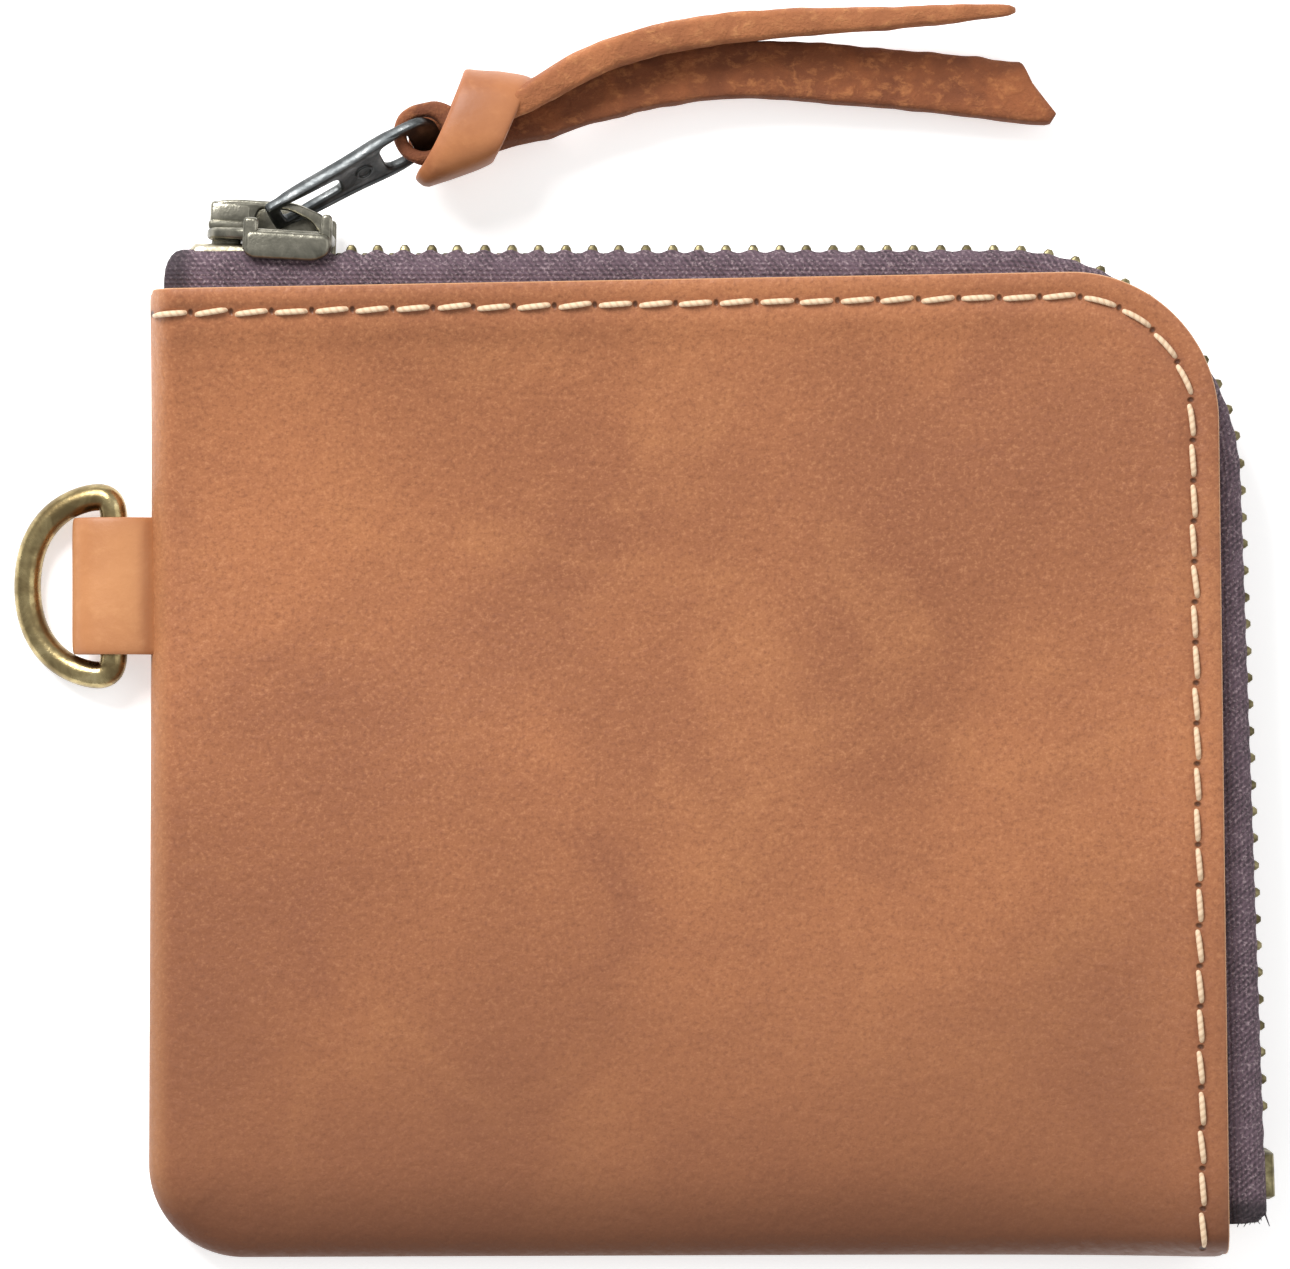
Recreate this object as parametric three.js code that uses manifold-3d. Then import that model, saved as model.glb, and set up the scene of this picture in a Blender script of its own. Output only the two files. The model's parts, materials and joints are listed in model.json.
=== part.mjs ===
// Zippered leather pouch with a metal zip round two sides, a leather pull and a D-ring on a tab.
// Millimetres. The pouch lies on its back panel: +X along the top edge, +Y to the top, +Z up
// through the front panel. The closed left and bottom seams are thin, the zipped edges thick.
import * as THREE from 'three';
import { mergeVertices } from 'three/addons/utils/BufferGeometryUtils.js';
import Module from 'manifold-3d';

const wasm = await Module();
wasm.setup();

// Leather body.
const LEATHER = 1.3; // panel thickness
const ZIP_EDGE = 12; // pouch thickness along the zip
const SEAM_EDGE = 6; // pouch thickness along the closed seams
const WIDTH = 98.5; // left seam to right edge, where the swell is full
const HEIGHT = 89.5; // bottom seam to top edge, where the swell is full
const CORNERS = [
  { at: [0, 0], radius: 9 },
  { at: [101.1, 0.4], radius: 0.9 },
  { at: [99.9, 92.6], radius: 11.5 },
  { at: [0.4, 90.8], radius: 0.7 },
];
const SWELL_POWER = 8; // how late the closed seams open out towards the zip's ends
const HEM = 5; // width of the seam allowance folded back inside
const GAP = 0.3; // between neighbours
const MIDDLE = ZIP_EDGE / 2; // height of the zip chain's middle
const PARTING = SEAM_EDGE / 2; // height where the two panels meet at the closed seams

// Stitching along the open edges, and the hidden seam that closes the left and bottom.
const THREAD = 0.65;
const STITCH_INSET = 2.3;
const GROOVE_DEPTH = 0.8;
const CLOSING_INSET = 2.2;
const CLOSING_THREAD = 0.6;

// Zip: chain line, tape and teeth.
const CHAIN_Y = 93.9; // the chain's middle plane along the top run
const ZIP_START = 2; // where the tape begins
const TOP_RUN = 78.2;
const CORNER_RADIUS = 21.5;
const CORNER_TURN = -88;
const SIDE_RUN = 69.8;
const TAPE = 0.55; // tape thickness
const TAPE_MARGIN = 7; // how far the tape reaches inside the pouch
const TAPE_STRAIGHT = -3; // it stays at full width this far in, clear of the slider
const TAPE_LEAN = 0.4; // and leans this much away from the panel at its inner edge
const TAPE_OUT = MIDDLE - LEATHER - 0.4; // tape's outer face from the chain's middle
const TOOTH_PITCH = 2.5;
const TOOTH_LENGTH = 1.1;
const TOOTH_HEIGHT = 2.2;
const TOOTH_OUT = 2.9; // a tooth's outer end from the chain's middle
const TOOTH_IN = 0.65; // its inner end, so the slider's divider passes between the rows
const CORD_IN = 1.9; // inner edge of the bead cord that the teeth are clamped on
const FIRST_TOOTH = 7.3;
const TEETH = 66;
const STOP_LENGTH = 4.5;

// Slider, crown and metal pull tab.
const SLIDER_X = 11.55;
const SLIDER_LENGTH = 11.9;
const PLATE = 1.0;
const PLATE_BASE = TOOTH_HEIGHT / 2 + GAP; // a plate's inner face from the chain's middle plane
const SHOULDER = 4.7; // half the top plate's width at its shoulders
const INNER_PLATE = 3.5; // half the inner plate's width, between the two tapes
const CROWN_HALF = 0.6; // half the crown's thickness, which passes through the pull tab's window
const PIVOT = [12.15, 97.95];
const PULL_ANGLE = 28.6; // the pull tab's rest angle above the zip
const PULL_ROLL = -30; // the loose pull tab leans over on its long axis
const PULL_LENGTH = 17.25;
const PULL_THICK = 1.0;
const END_BAR = 15.8; // middle of the bar at the pull tab's far end, from the pivot

// Leather strap knotted on the pull tab.
const STRAP_WIDTH = 6;
const STRAP_THICK = 2.1;
const LOOP_OUTER = 3.9; // the strap's loop turns freely round the pull tab's end bar
const LOOP_INNER = 2.2;
const LOOP_WIDTH = 2.5; // the strip is squeezed narrow where it passes the slot

// D-ring and its tab.
const WIRE = 2.5;
const RING_BAR_X = -3.25;
const RING_Y = 63.2;
const RING_HALF = 8.6; // half the ring's height, at the wire's middle
const RING_BOW = 8.1; // bar to bow, at the wire's middle
const RING_SQUARE = 2.4; // the bow is a squared ellipse of this power
const RING_TILT = -12; // the bow rests on the table
const TAB_WIDTH = 12.9;
const TAB_FOLD = -7.2;
const TAB_WALL = 1.25;

const degrees = THREE.MathUtils.degToRad;
const clampUnit = (t) => THREE.MathUtils.clamp(t, 0, 1);

const leather = (colour) => new THREE.MeshStandardMaterial({ color: colour, roughness: 0.7, metalness: 0 });
const metal = (colour) => new THREE.MeshStandardMaterial({ color: colour, roughness: 0.4, metalness: 0.9 });
const cloth = (colour) => new THREE.MeshStandardMaterial({ color: colour, roughness: 0.95, metalness: 0 });

// Moves every vertex of a geometry by a function that edits a vector.
function moveEach(geometry, edit) {
  const position = geometry.attributes.position;
  const point = new THREE.Vector3();
  for (let i = 0; i < position.count; i += 1) {
    point.fromBufferAttribute(position, i);
    edit(point);
    position.setXYZ(i, point.x, point.y, point.z);
  }
  return geometry;
}

// A closed geometry as a solid for joining and cutting.
function solid(geometry) {
  const bare = geometry.clone();
  bare.deleteAttribute('normal');
  bare.deleteAttribute('uv');
  const merged = mergeVertices(bare, 1e-4);
  return new wasm.Manifold(new wasm.Mesh({
    numProp: 3,
    vertProperties: new Float32Array(merged.attributes.position.array),
    triVerts: new Uint32Array(merged.index.array),
  }));
}

// A solid back as a geometry with flat shading.
function shell(body) {
  const mesh = body.getMesh();
  const geometry = new THREE.BufferGeometry();
  geometry.setAttribute('position', new THREE.BufferAttribute(new Float32Array(mesh.vertProperties), 3));
  geometry.setIndex(new THREE.BufferAttribute(new Uint32Array(mesh.triVerts), 1));
  geometry.computeVertexNormals();
  return geometry;
}

function box(low, high) {
  const size = high.map((value, i) => value - low[i]);
  const middle = high.map((value, i) => (value + low[i]) / 2);
  return new THREE.BoxGeometry(...size).translate(...middle);
}

const polygon = (points) => new THREE.Shape(points.map(([x, y]) => new THREE.Vector2(x, y)));

function extrude(shape, depth, steps = 1, curveSegments = 6) {
  return new THREE.ExtrudeGeometry(shape, { depth, steps, curveSegments, bevelEnabled: false });
}

// How far the panels are swollen apart, 0 at the closed seams and 1 along the zip.
function swell(x, y) {
  const u = clampUnit(x / WIDTH);
  const v = clampUnit(y / HEIGHT);
  return u * v + (1 - v) * u ** SWELL_POWER + (1 - u) * v ** SWELL_POWER;
}
const frontFace = (x, y) => SEAM_EDGE + (ZIP_EDGE - SEAM_EDGE) * swell(x, y);
const partingFace = (x, y) => PARTING + (MIDDLE - PARTING) * swell(x, y);

// The panels' outline: four straight sides with round corners, counter-clockwise.
function outline() {
  const shape = new THREE.Shape();
  const corner = (i) => new THREE.Vector2(...CORNERS[(i + 4) % 4].at);
  CORNERS.forEach(({ radius }, i) => {
    const at = corner(i);
    const back = corner(i - 1).sub(at).normalize();
    const on = corner(i + 1).sub(at).normalize();
    const half = back.angleTo(on) / 2;
    const setback = radius / Math.tan(half);
    const centre = back.clone().add(on).normalize().multiplyScalar(radius / Math.sin(half)).add(at);
    const first = back.multiplyScalar(setback).add(at).sub(centre).angle();
    const last = on.multiplyScalar(setback).add(at).sub(centre).angle();
    shape.absarc(centre.x, centre.y, radius, first, last, false);
  });
  shape.closePath();
  return shape;
}

// A line of two straights joined by an arc. place(along, out) gives a point, out to its left.
function run({ x, y, heading, first, radius, turn }) {
  const facing = degrees(heading);
  const side = Math.sign(turn);
  const arc = radius * Math.abs(degrees(turn));
  return (along, out) => {
    const straight = Math.min(along, first);
    const bent = THREE.MathUtils.clamp(along - first, 0, arc);
    const rest = Math.max(along - first - arc, 0);
    const now = facing + (side * bent) / radius;
    const swing = side * radius;
    const centreX = x + first * Math.cos(facing) - swing * Math.sin(facing);
    const centreY = y + first * Math.sin(facing) + swing * Math.cos(facing);
    const px = along < first ? x + straight * Math.cos(facing) : centreX + swing * Math.sin(now);
    const py = along < first ? y + straight * Math.sin(facing) : centreY - swing * Math.cos(now);
    return [
      px + rest * Math.cos(now) - out * Math.sin(now),
      py + rest * Math.sin(now) + out * Math.cos(now),
    ];
  };
}

const zipLine = run({
  x: ZIP_START, y: CHAIN_Y, heading: 0, first: TOP_RUN, radius: CORNER_RADIUS, turn: CORNER_TURN,
});
const stitchLine = run({
  x: 0.45, y: 90.8 - STITCH_INSET, heading: 1.04, first: 87.8, radius: 9.2, turn: -90.3,
});
const closingLine = run({ x: CLOSING_INSET, y: 84, heading: -90, first: 74.8, radius: 7, turn: 90 });

// A section drawn as [out, height] points, swept along a line from one distance to another.
function sweep(line, section, from, to, steps) {
  const length = to - from;
  return moveEach(extrude(polygon(section), length, steps), (p) => {
    const [x, y] = line(from + p.z, p.x);
    p.set(x, y, p.y);
  });
}

const rectangle = (low, high) => [
  [low[0], low[1]], [high[0], low[1]], [high[0], high[1]], [low[0], high[1]],
];

// A plate over the whole pouch between two height functions, finer towards the zip.
function slab(low, high) {
  const cells = 13;
  const crowd = 1.4;
  const spread = (t, size) => (size + 4) * (1 - (1 - t) ** crowd) - 2;
  return moveEach(new THREE.BoxGeometry(1, 1, 1, cells, cells, 1), (p) => {
    const x = spread(p.x + 0.5, 101);
    const y = spread(p.y + 0.5, 93);
    p.set(x, y, p.z > 0 ? high(x, y) : low(x, y));
  });
}

const tall = (low, high) => solid(box([...low, -5], [...high, ZIP_EDGE + 5]));

// Where the seam allowance lies: along the left and the bottom, clear of the zip's ends.
const hemRegion = () => tall([-2, -2], [HEM, 86.3]).add(tall([-2, -2], [96, HEM + 0.4]));
const tabPocket = () => {
  const reach = TAB_WIDTH / 2 + GAP;
  return solid(box([-2, RING_Y - reach, LEATHER + 0.05], [HEM + 0.5, RING_Y + reach, 4.7]));
};

// A panel: a plate, with the seam allowance folded inside, cut to the outline and its grooves.
function panel(plate, hem, stitches, closing) {
  const cutter = solid(extrude(outline(), ZIP_EDGE + 10, 1, 10).translate(0, 0, -5));
  const body = solid(plate).add(solid(hem).intersect(hemRegion())).intersect(cutter);
  return shell(body.subtract(solid(stitches)).subtract(solid(closing)).subtract(tabPocket()));
}

const onFront = (geometry) => moveEach(geometry, (p) => { p.z += frontFace(p.x, p.y); });
const onParting = (geometry) => moveEach(geometry, (p) => { p.z += partingFace(p.x, p.y); });

const STITCH_END = 182.3;
const STITCH_STEPS = 36;
const CLOSING_END = 169;
const CLOSING_STEPS = 30;

function closingGroove() {
  const half = CLOSING_THREAD / 2 + GAP;
  return onParting(sweep(closingLine, rectangle([-half, -half], [half, half]), -3, 173, CLOSING_STEPS));
}

function frontPanel() {
  const groove = rectangle([-THREAD / 2 - GAP, -GROOVE_DEPTH], [THREAD / 2 + GAP, 2]);
  return panel(
    slab((x, y) => frontFace(x, y) - LEATHER, frontFace),
    slab((x, y) => partingFace(x, y) + GAP / 2, (x, y) => frontFace(x, y) - LEATHER / 2),
    onFront(sweep(stitchLine, groove, -3, STITCH_END + 3, STITCH_STEPS)),
    closingGroove(),
  );
}

function backPanel() {
  const groove = rectangle([-THREAD / 2 - GAP, -2], [THREAD / 2 + GAP, GROOVE_DEPTH]);
  return panel(
    slab(() => 0, () => LEATHER),
    slab(() => LEATHER / 2, (x, y) => partingFace(x, y) - GAP / 2),
    sweep(stitchLine, groove, -3, STITCH_END + 3, STITCH_STEPS),
    closingGroove(),
  );
}

// The cream thread of the front: it stands a little proud of its groove.
function frontEdgeThread() {
  const section = rectangle([-THREAD / 2, GAP - GROOVE_DEPTH], [THREAD / 2, 0.15]);
  return onFront(sweep(stitchLine, section, 0, STITCH_END, STITCH_STEPS));
}

function backEdgeThread() {
  const section = rectangle([-THREAD / 2, 0.05], [THREAD / 2, GROOVE_DEPTH - GAP]);
  return sweep(stitchLine, section, 0, STITCH_END, STITCH_STEPS);
}

// The thread of the turned seam, between the two seam allowances.
function closingThread() {
  const half = CLOSING_THREAD / 2;
  return onParting(sweep(closingLine, rectangle([-half, -half], [half, half]), 0, CLOSING_END, CLOSING_STEPS));
}

// A tape runs flat behind its panel, then folds over towards the teeth.
const tapeSection = (side) => [
  [-TAPE_MARGIN, TAPE_OUT - TAPE_LEAN], [TAPE_STRAIGHT, TAPE_OUT], [-0.5, TAPE_OUT], [0.3, TAPE_OUT - 0.7],
  [0.3, TOOTH_OUT + GAP], [-0.3, TOOTH_OUT + GAP], [-0.3, TAPE_OUT - 0.9],
  [-0.7, TAPE_OUT - TAPE], [TAPE_STRAIGHT, TAPE_OUT - TAPE], [-TAPE_MARGIN, TAPE_OUT - TAPE - TAPE_LEAN],
].map(([out, height]) => [out, MIDDLE + side * height]);

const ARC = CORNER_RADIUS * Math.abs(degrees(CORNER_TURN));
const ZIP_LENGTH = TOP_RUN + ARC + SIDE_RUN;

function tapeFront() {
  const tape = sweep(zipLine, tapeSection(1), 0, ZIP_LENGTH, 40);
  return moveEach(tape, (p) => { p.z -= (ZIP_EDGE - SEAM_EDGE) * (1 - swell(p.x, p.y)); });
}

const tapeBack = () => sweep(zipLine, tapeSection(-1), 0, ZIP_LENGTH, 40);

// Teeth clamped on the tape's bead cord: a bar round the zip whose inner side rises to a tooth
// and falls back to the cord once in every pitch.
function toothRow(side, offset) {
  const steps = 3 * TEETH;
  const phases = [0, (TOOTH_PITCH - TOOTH_LENGTH) / 2, (TOOTH_PITCH + TOOTH_LENGTH) / 2];
  return moveEach(new THREE.BoxGeometry(1, 1, 1, steps, 1, 1), (p) => {
    const station = Math.round((p.x + 0.5) * steps);
    const phase = station % 3;
    const along = FIRST_TOOTH + offset + Math.floor(station / 3) * TOOTH_PITCH + phases[phase];
    const inner = phase === 0 ? CORD_IN : TOOTH_IN;
    const [x, y] = zipLine(along, -side * TOOTH_HEIGHT * p.z);
    p.set(x, y, MIDDLE + side * (p.y > 0 ? TOOTH_OUT : inner));
  });
}

// A metal stop clamped on the chain line.
function stop(from, outs, heights) {
  return sweep(zipLine, rectangle([outs[0], heights[0]], [outs[1], heights[1]]), from, from + STOP_LENGTH, 2);
}
const TOP_STOP = 1.9;
const topStop = (side) => {
  const ends = [MIDDLE + side * TOOTH_IN, MIDDLE + side * TOOTH_OUT].sort((a, b) => a - b);
  return stop(TOP_STOP, [-TOOTH_HEIGHT / 2, TOOTH_HEIGHT / 2], ends);
};
const bottomStop = () => stop(FIRST_TOOTH + TEETH * TOOTH_PITCH + 1.8, [-1.3, 1.7],
  [MIDDLE - TOOTH_OUT, MIDDLE + TOOTH_OUT]);

// A plate lying across the chain line: outline in [x, z], from one height to another in y.
function acrossPlate(shape, low, high) {
  return extrude(shape, high - low).rotateX(Math.PI / 2).translate(0, high, 0);
}

// The slider: two plates joined by the divider at the nose, with side flanges on the outer one.
function sliderBody() {
  const half = SLIDER_LENGTH / 2;
  const wedge = (side) => [[-half, side * 3.2], [-2.2, side * SHOULDER], [half, side * 4.1]];
  const top = polygon([...wedge(-1), ...wedge(1).reverse()]);
  const inner = polygon([
    [-half, -2.6], [-2.4, -INNER_PLATE], [half, -INNER_PLATE],
    [half, INNER_PLATE], [-2.4, INNER_PLATE], [-half, 2.6],
  ]);
  const flange = (side) => polygon([[-2.2, 3.5], [half, 3.3], [half, 4.1], [-2.2, SHOULDER]]
    .map(([x, z]) => [x, side * z]));
  const divider = polygon([[-5.4, -0.35], [-2.8, -0.35], [-2.8, 0.35], [-5.4, 0.35]]);
  return shell(
    solid(acrossPlate(top, PLATE_BASE, PLATE_BASE + PLATE))
      .add(solid(acrossPlate(inner, -PLATE_BASE - PLATE, -PLATE_BASE)))
      .add(solid(acrossPlate(divider, -PLATE_BASE - 0.1, PLATE_BASE + 0.1)))
      .add(solid(acrossPlate(flange(1), 0.6, PLATE_BASE + 0.2)))
      .add(solid(acrossPlate(flange(-1), 0.6, PLATE_BASE + 0.2))),
  ).translate(SLIDER_X, CHAIN_Y, MIDDLE);
}

// The crown: an arch along the slider that the pull tab's end bar passes under.
function sliderCrown() {
  const foot = PLATE_BASE + PLATE + GAP;
  const arch = polygon([
    [-5.7, foot], [-1.8, foot], [-1.8, 5.1], [4.75, 5.1], [4.75, foot], [5.8, foot],
    [5.8, 5.3], [5.0, 5.8], [-4.6, 5.8], [-5.5, 5.2],
  ]);
  const base = box([-5.7, foot, -1.9], [-1.8, foot + 0.6, 1.9]);
  return shell(solid(extrude(arch, 2 * CROWN_HALF).translate(0, 0, -CROWN_HALF)).add(solid(base)))
    .translate(SLIDER_X, CHAIN_Y, MIDDLE);
}

// Puts a geometry made about the pivot, long axis along X, in its leaning rest place.
function onPull(geometry) {
  return geometry.rotateX(degrees(PULL_ROLL)).rotateZ(degrees(PULL_ANGLE)).translate(...PIVOT, MIDDLE);
}

// The metal pull tab: widening to a round tip, a window at the root and a slot at the far end.
function pullTab() {
  const root = 1.95;
  const far = 2.9;
  const plate = new THREE.Shape();
  plate.moveTo(-0.6, -root);
  plate.lineTo(14.2, -far);
  plate.bezierCurveTo(16.4, -far, PULL_LENGTH, -1.6, PULL_LENGTH, 0);
  plate.bezierCurveTo(PULL_LENGTH, 1.6, 16.4, far, 14.2, far);
  plate.lineTo(-0.6, root);
  plate.closePath();
  plate.holes.push(polygon([[0.6, -1.3], [0.6, 1.3], [7, 1.3], [7, -1.3]]));
  plate.holes.push(polygon([[11.5, -1.8], [11.5, 1.8], [12, 2.1], [14.35, 2.1], [14.35, -2.1], [12, -2.1]]));
  return onPull(acrossPlate(plate, -PULL_THICK / 2, PULL_THICK / 2));
}

// A flat strip along a curve. It starts lying flat, and turns on its length by an angle.
function strip(points, turn, slant) {
  const curve = new THREE.CatmullRomCurve3(points.map((p) => new THREE.Vector3(...p)));
  const section = rectangle([-STRAP_THICK / 2, -STRAP_WIDTH / 2], [STRAP_THICK / 2, STRAP_WIDTH / 2]);
  const turnEnd = 0.45;
  return moveEach(extrude(polygon(section), 1, 14), (p) => {
    const along = p.z;
    const tangent = curve.getTangentAt(along);
    const across = new THREE.Vector3(-tangent.y, tangent.x, 0).normalize();
    const up = tangent.clone().cross(across);
    const lean = degrees(turn) * THREE.MathUtils.smoothstep(along, 0, turnEnd);
    const wide = across.clone().multiplyScalar(Math.cos(lean)).addScaledVector(up, Math.sin(lean));
    const thick = up.multiplyScalar(Math.cos(lean)).addScaledVector(across, -Math.sin(lean));
    const spot = curve.getPointAt(along).addScaledVector(tangent, slant * along * p.y);
    p.copy(spot.addScaledVector(wide, p.y).addScaledVector(thick, -p.x));
  });
}

// The strap: one strip hitched through the tab's slot, its knot round the two tails.
function pullStrap() {
  const bar = new THREE.Vector2(END_BAR, 0).rotateAround(new THREE.Vector2(), degrees(PULL_ANGLE));
  const loop = extrude(ringShape(LOOP_OUTER, LOOP_INNER), LOOP_WIDTH, 1, 12)
    .translate(PIVOT[0] + bar.x, PIVOT[1] + bar.y, MIDDLE - LOOP_WIDTH / 2);
  const knot = polygon([
    [29.7, 111.3], [28.9, 107.5], [28.6, 104.4], [27.2, 102.3], [28.6, 100.4], [33.6, 103.4],
    [35.7, 109.8], [35.3, 110.8],
  ]);
  const upper = strip([
    [33, 108.2, 7.1], [36.6, 109.4, 7], [40.7, 111.6, 6.8], [47, 113.8, 6.5], [53.3, 115.2, 6.2],
    [59.5, 116, 6], [70, 116.6, 6], [80.6, 116.9, 6],
  ], 88, 0);
  const lower = strip([
    [33, 106.6, 4.9], [36.5, 107.1, 4.8], [41, 108.6, 4.6], [46.3, 109.9, 4.3], [55.3, 111.2, 3.9],
    [67.8, 110.8, 3.2], [82.3, 109.6, 2.6],
  ], 10, -0.6);
  return shell(
    solid(loop)
      .add(solid(extrude(knot, 8.4).translate(0, 0, MIDDLE - 4.2)))
      .add(solid(upper))
      .add(solid(lower)),
  );
}

function ringShape(outer, inner) {
  const shape = new THREE.Shape().absarc(0, 0, outer, 0, 2 * Math.PI, false);
  shape.holes.push(new THREE.Path().absarc(0, 0, inner, 0, 2 * Math.PI, true));
  return shape;
}

// The D-ring: a straight bar and a bow, made lying flat about the bar and then tilted.
function dRing() {
  class Bow extends THREE.Curve {
    getPoint(t, target = new THREE.Vector3()) {
      const angle = t * Math.PI;
      const square = (value) => Math.sign(value) * Math.abs(value) ** (2 / RING_SQUARE);
      return target.set(-RING_BOW * square(Math.sin(angle)), RING_HALF * square(Math.cos(angle)), 0);
    }
  }
  const sides = 10;
  const wire = new THREE.Shape().absarc(0, 0, WIRE / 2, 0, 2 * Math.PI, false);
  const bow = new THREE.ExtrudeGeometry(wire, {
    steps: 24, curveSegments: sides / 2, bevelEnabled: false, extrudePath: new Bow(),
  });
  const bar = new THREE.CylinderGeometry(WIRE / 2, WIRE / 2, 2 * RING_HALF, sides);
  const bend = (end) => new THREE.SphereGeometry(WIRE / 2, sides, 6).translate(0, end * RING_HALF, 0);
  return shell(solid(bow).add(solid(bar)).add(solid(bend(1))).add(solid(bend(-1))))
    .rotateY(degrees(RING_TILT)).translate(RING_BAR_X, RING_Y, PARTING);
}

// The leather tab: a strip folded round the ring's bar, its ends sewn into the left seam.
function ringTab() {
  const slot = WIRE / 2 + GAP;
  const full = slot + TAB_WALL;
  const flat = 1.4;
  const section = new THREE.Shape();
  section.moveTo(4.6, -flat);
  section.lineTo(4.6, flat);
  section.lineTo(-0.3, flat);
  section.quadraticCurveTo(-1.2, full, -2.6, full);
  section.lineTo(-4.6, full);
  section.quadraticCurveTo(TAB_FOLD, full, TAB_FOLD, 0);
  section.quadraticCurveTo(TAB_FOLD, -full, -4.6, -full);
  section.lineTo(-2.6, -full);
  section.quadraticCurveTo(-1.2, -full, -0.3, -flat);
  section.closePath();
  const eye = new THREE.Path();
  eye.moveTo(-1.4, 0);
  eye.quadraticCurveTo(-1.8, -slot, -2.9, -slot);
  eye.lineTo(-4.4, -slot);
  eye.quadraticCurveTo(-5.95, -slot, -5.95, 0);
  eye.quadraticCurveTo(-5.95, slot, -4.4, slot);
  eye.lineTo(-2.9, slot);
  eye.quadraticCurveTo(-1.8, slot, -1.4, 0);
  const stitchHole = new THREE.Path().absellipse(CLOSING_INSET, 0.15, 0.65, 0.85, 0, 2 * Math.PI, true, 0);
  section.holes.push(eye, stitchHole);
  return extrude(section, TAB_WIDTH).rotateX(Math.PI / 2).translate(0, RING_Y + TAB_WIDTH / 2, PARTING);
}

function piece(name, geometry, material) {
  const mesh = new THREE.Mesh(geometry, material);
  mesh.name = name;
  return mesh;
}

const tan = leather(0xb47855);
const paleTan = leather(0xdc9b69);
const roughTan = leather(0xb96e3c);
const plum = cloth(0x4c3d4f);
const cream = cloth(0xebd7b9);
const antiqueBrass = metal(0xaaa06e);
const gunmetal = metal(0x5e6058);

const pouch = new THREE.Group();
pouch.add(
  piece('front_panel', frontPanel(), tan),
  piece('back_panel', backPanel(), tan),
  piece('front_edge_thread', frontEdgeThread(), cream),
  piece('back_edge_thread', backEdgeThread(), cream),
  piece('closing_seam_thread', closingThread(), cream),
  piece('zip_tape_front', tapeFront(), plum),
  piece('zip_tape_back', tapeBack(), plum),
  piece('tooth_row_front', toothRow(1, 0), antiqueBrass),
  piece('tooth_row_back', toothRow(-1, TOOTH_PITCH / 2), antiqueBrass),
  piece('top_stop_front', topStop(1), gunmetal),
  piece('top_stop_back', topStop(-1), gunmetal),
  piece('bottom_stop', bottomStop(), antiqueBrass),
  piece('slider_body', sliderBody(), gunmetal),
  piece('slider_crown', sliderCrown(), gunmetal),
  piece('pull_tab', pullTab(), gunmetal),
  piece('pull_strap', pullStrap(), roughTan),
  piece('d_ring', dRing(), antiqueBrass),
  piece('d_ring_tab', ringTab(), paleTan),
);

// The origin is under the middle of the whole object, on the surface that it lies on.
const bounds = new THREE.Box3().setFromObject(pouch, true);
const middle = bounds.getCenter(new THREE.Vector3());
pouch.position.set(-middle.x, -middle.y, -bounds.min.z);

export default pouch;
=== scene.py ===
"""A zippered leather pouch: pull-up leather panels, a metal zip round two sides, a slider with a
knotted leather strap, and a D-ring on a folded tab. Shapes are worked out in millimetres on the
pouch, from the panels' lower left corner, and put into the frame in metres."""

import json
import math

import bpy
import numpy as np
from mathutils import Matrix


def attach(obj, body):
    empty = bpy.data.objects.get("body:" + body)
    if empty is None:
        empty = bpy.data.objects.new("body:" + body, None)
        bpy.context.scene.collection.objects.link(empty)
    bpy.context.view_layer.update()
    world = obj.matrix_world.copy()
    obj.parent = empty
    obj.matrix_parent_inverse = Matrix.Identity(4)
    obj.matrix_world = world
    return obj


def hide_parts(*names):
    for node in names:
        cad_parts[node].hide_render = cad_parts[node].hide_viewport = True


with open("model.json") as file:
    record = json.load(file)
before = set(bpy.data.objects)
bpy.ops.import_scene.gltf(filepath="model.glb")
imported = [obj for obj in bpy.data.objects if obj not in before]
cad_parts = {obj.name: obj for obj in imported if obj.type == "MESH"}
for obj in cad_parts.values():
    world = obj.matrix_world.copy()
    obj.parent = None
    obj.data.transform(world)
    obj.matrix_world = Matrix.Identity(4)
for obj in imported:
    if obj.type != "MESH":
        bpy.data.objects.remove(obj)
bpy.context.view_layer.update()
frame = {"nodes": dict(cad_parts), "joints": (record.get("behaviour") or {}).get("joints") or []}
rng = np.random.default_rng(7)

# Sizes in millimetres, as the frame has them.
LEATHER = 1.3
ZIP_EDGE, SEAM_EDGE = 12.0, 6.0
MIDDLE, PARTING = ZIP_EDGE / 2, SEAM_EDGE / 2
SWELL_WIDTH, SWELL_HEIGHT, SWELL_POWER = 98.5, 89.5, 8
PANEL_WIDTH, PANEL_HEIGHT = 101.0, 92.0
PANEL_CORNERS = np.array([[0, 0], [101.1, 0.4], [0.4, 90.8], [99.9, 92.6]])
CORNER_RADII = (9.0, 0.9, 0.7, 14.0)
ROLL = 2.7
HEM = 5.0
CHAIN_Y = 93.9
TOOTH_PITCH, TEETH, FIRST_TOOTH = 2.5, 66, 7.3
PIVOT = np.array([12.15, 97.95, MIDDLE])
PULL_ANGLE, PULL_ROLL, PULL_LENGTH, END_BAR = 28.6, -30.0, 17.25, 15.8
SLIDER_TILT = -3.0
SLIDER = np.array([11.55, CHAIN_Y, MIDDLE])
RING_BAR = np.array([-3.25, 63.2, PARTING])
RING_HALF, RING_BOW, RING_SQUARE, RING_TILT, WIRE = 8.6, 8.55, 2.3, -12.0, 2.55
TAB_WIDTH, TAB_THICK = 12.9, 1.25

DEPTH = np.array([0.0, 0, 1])

SWING = next(joint for joint in frame["joints"] if joint["name"] == "pull_swing")
ORIGIN = np.array(SWING["pos_m"]) - PIVOT / 1000


# ---- meshes

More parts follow.
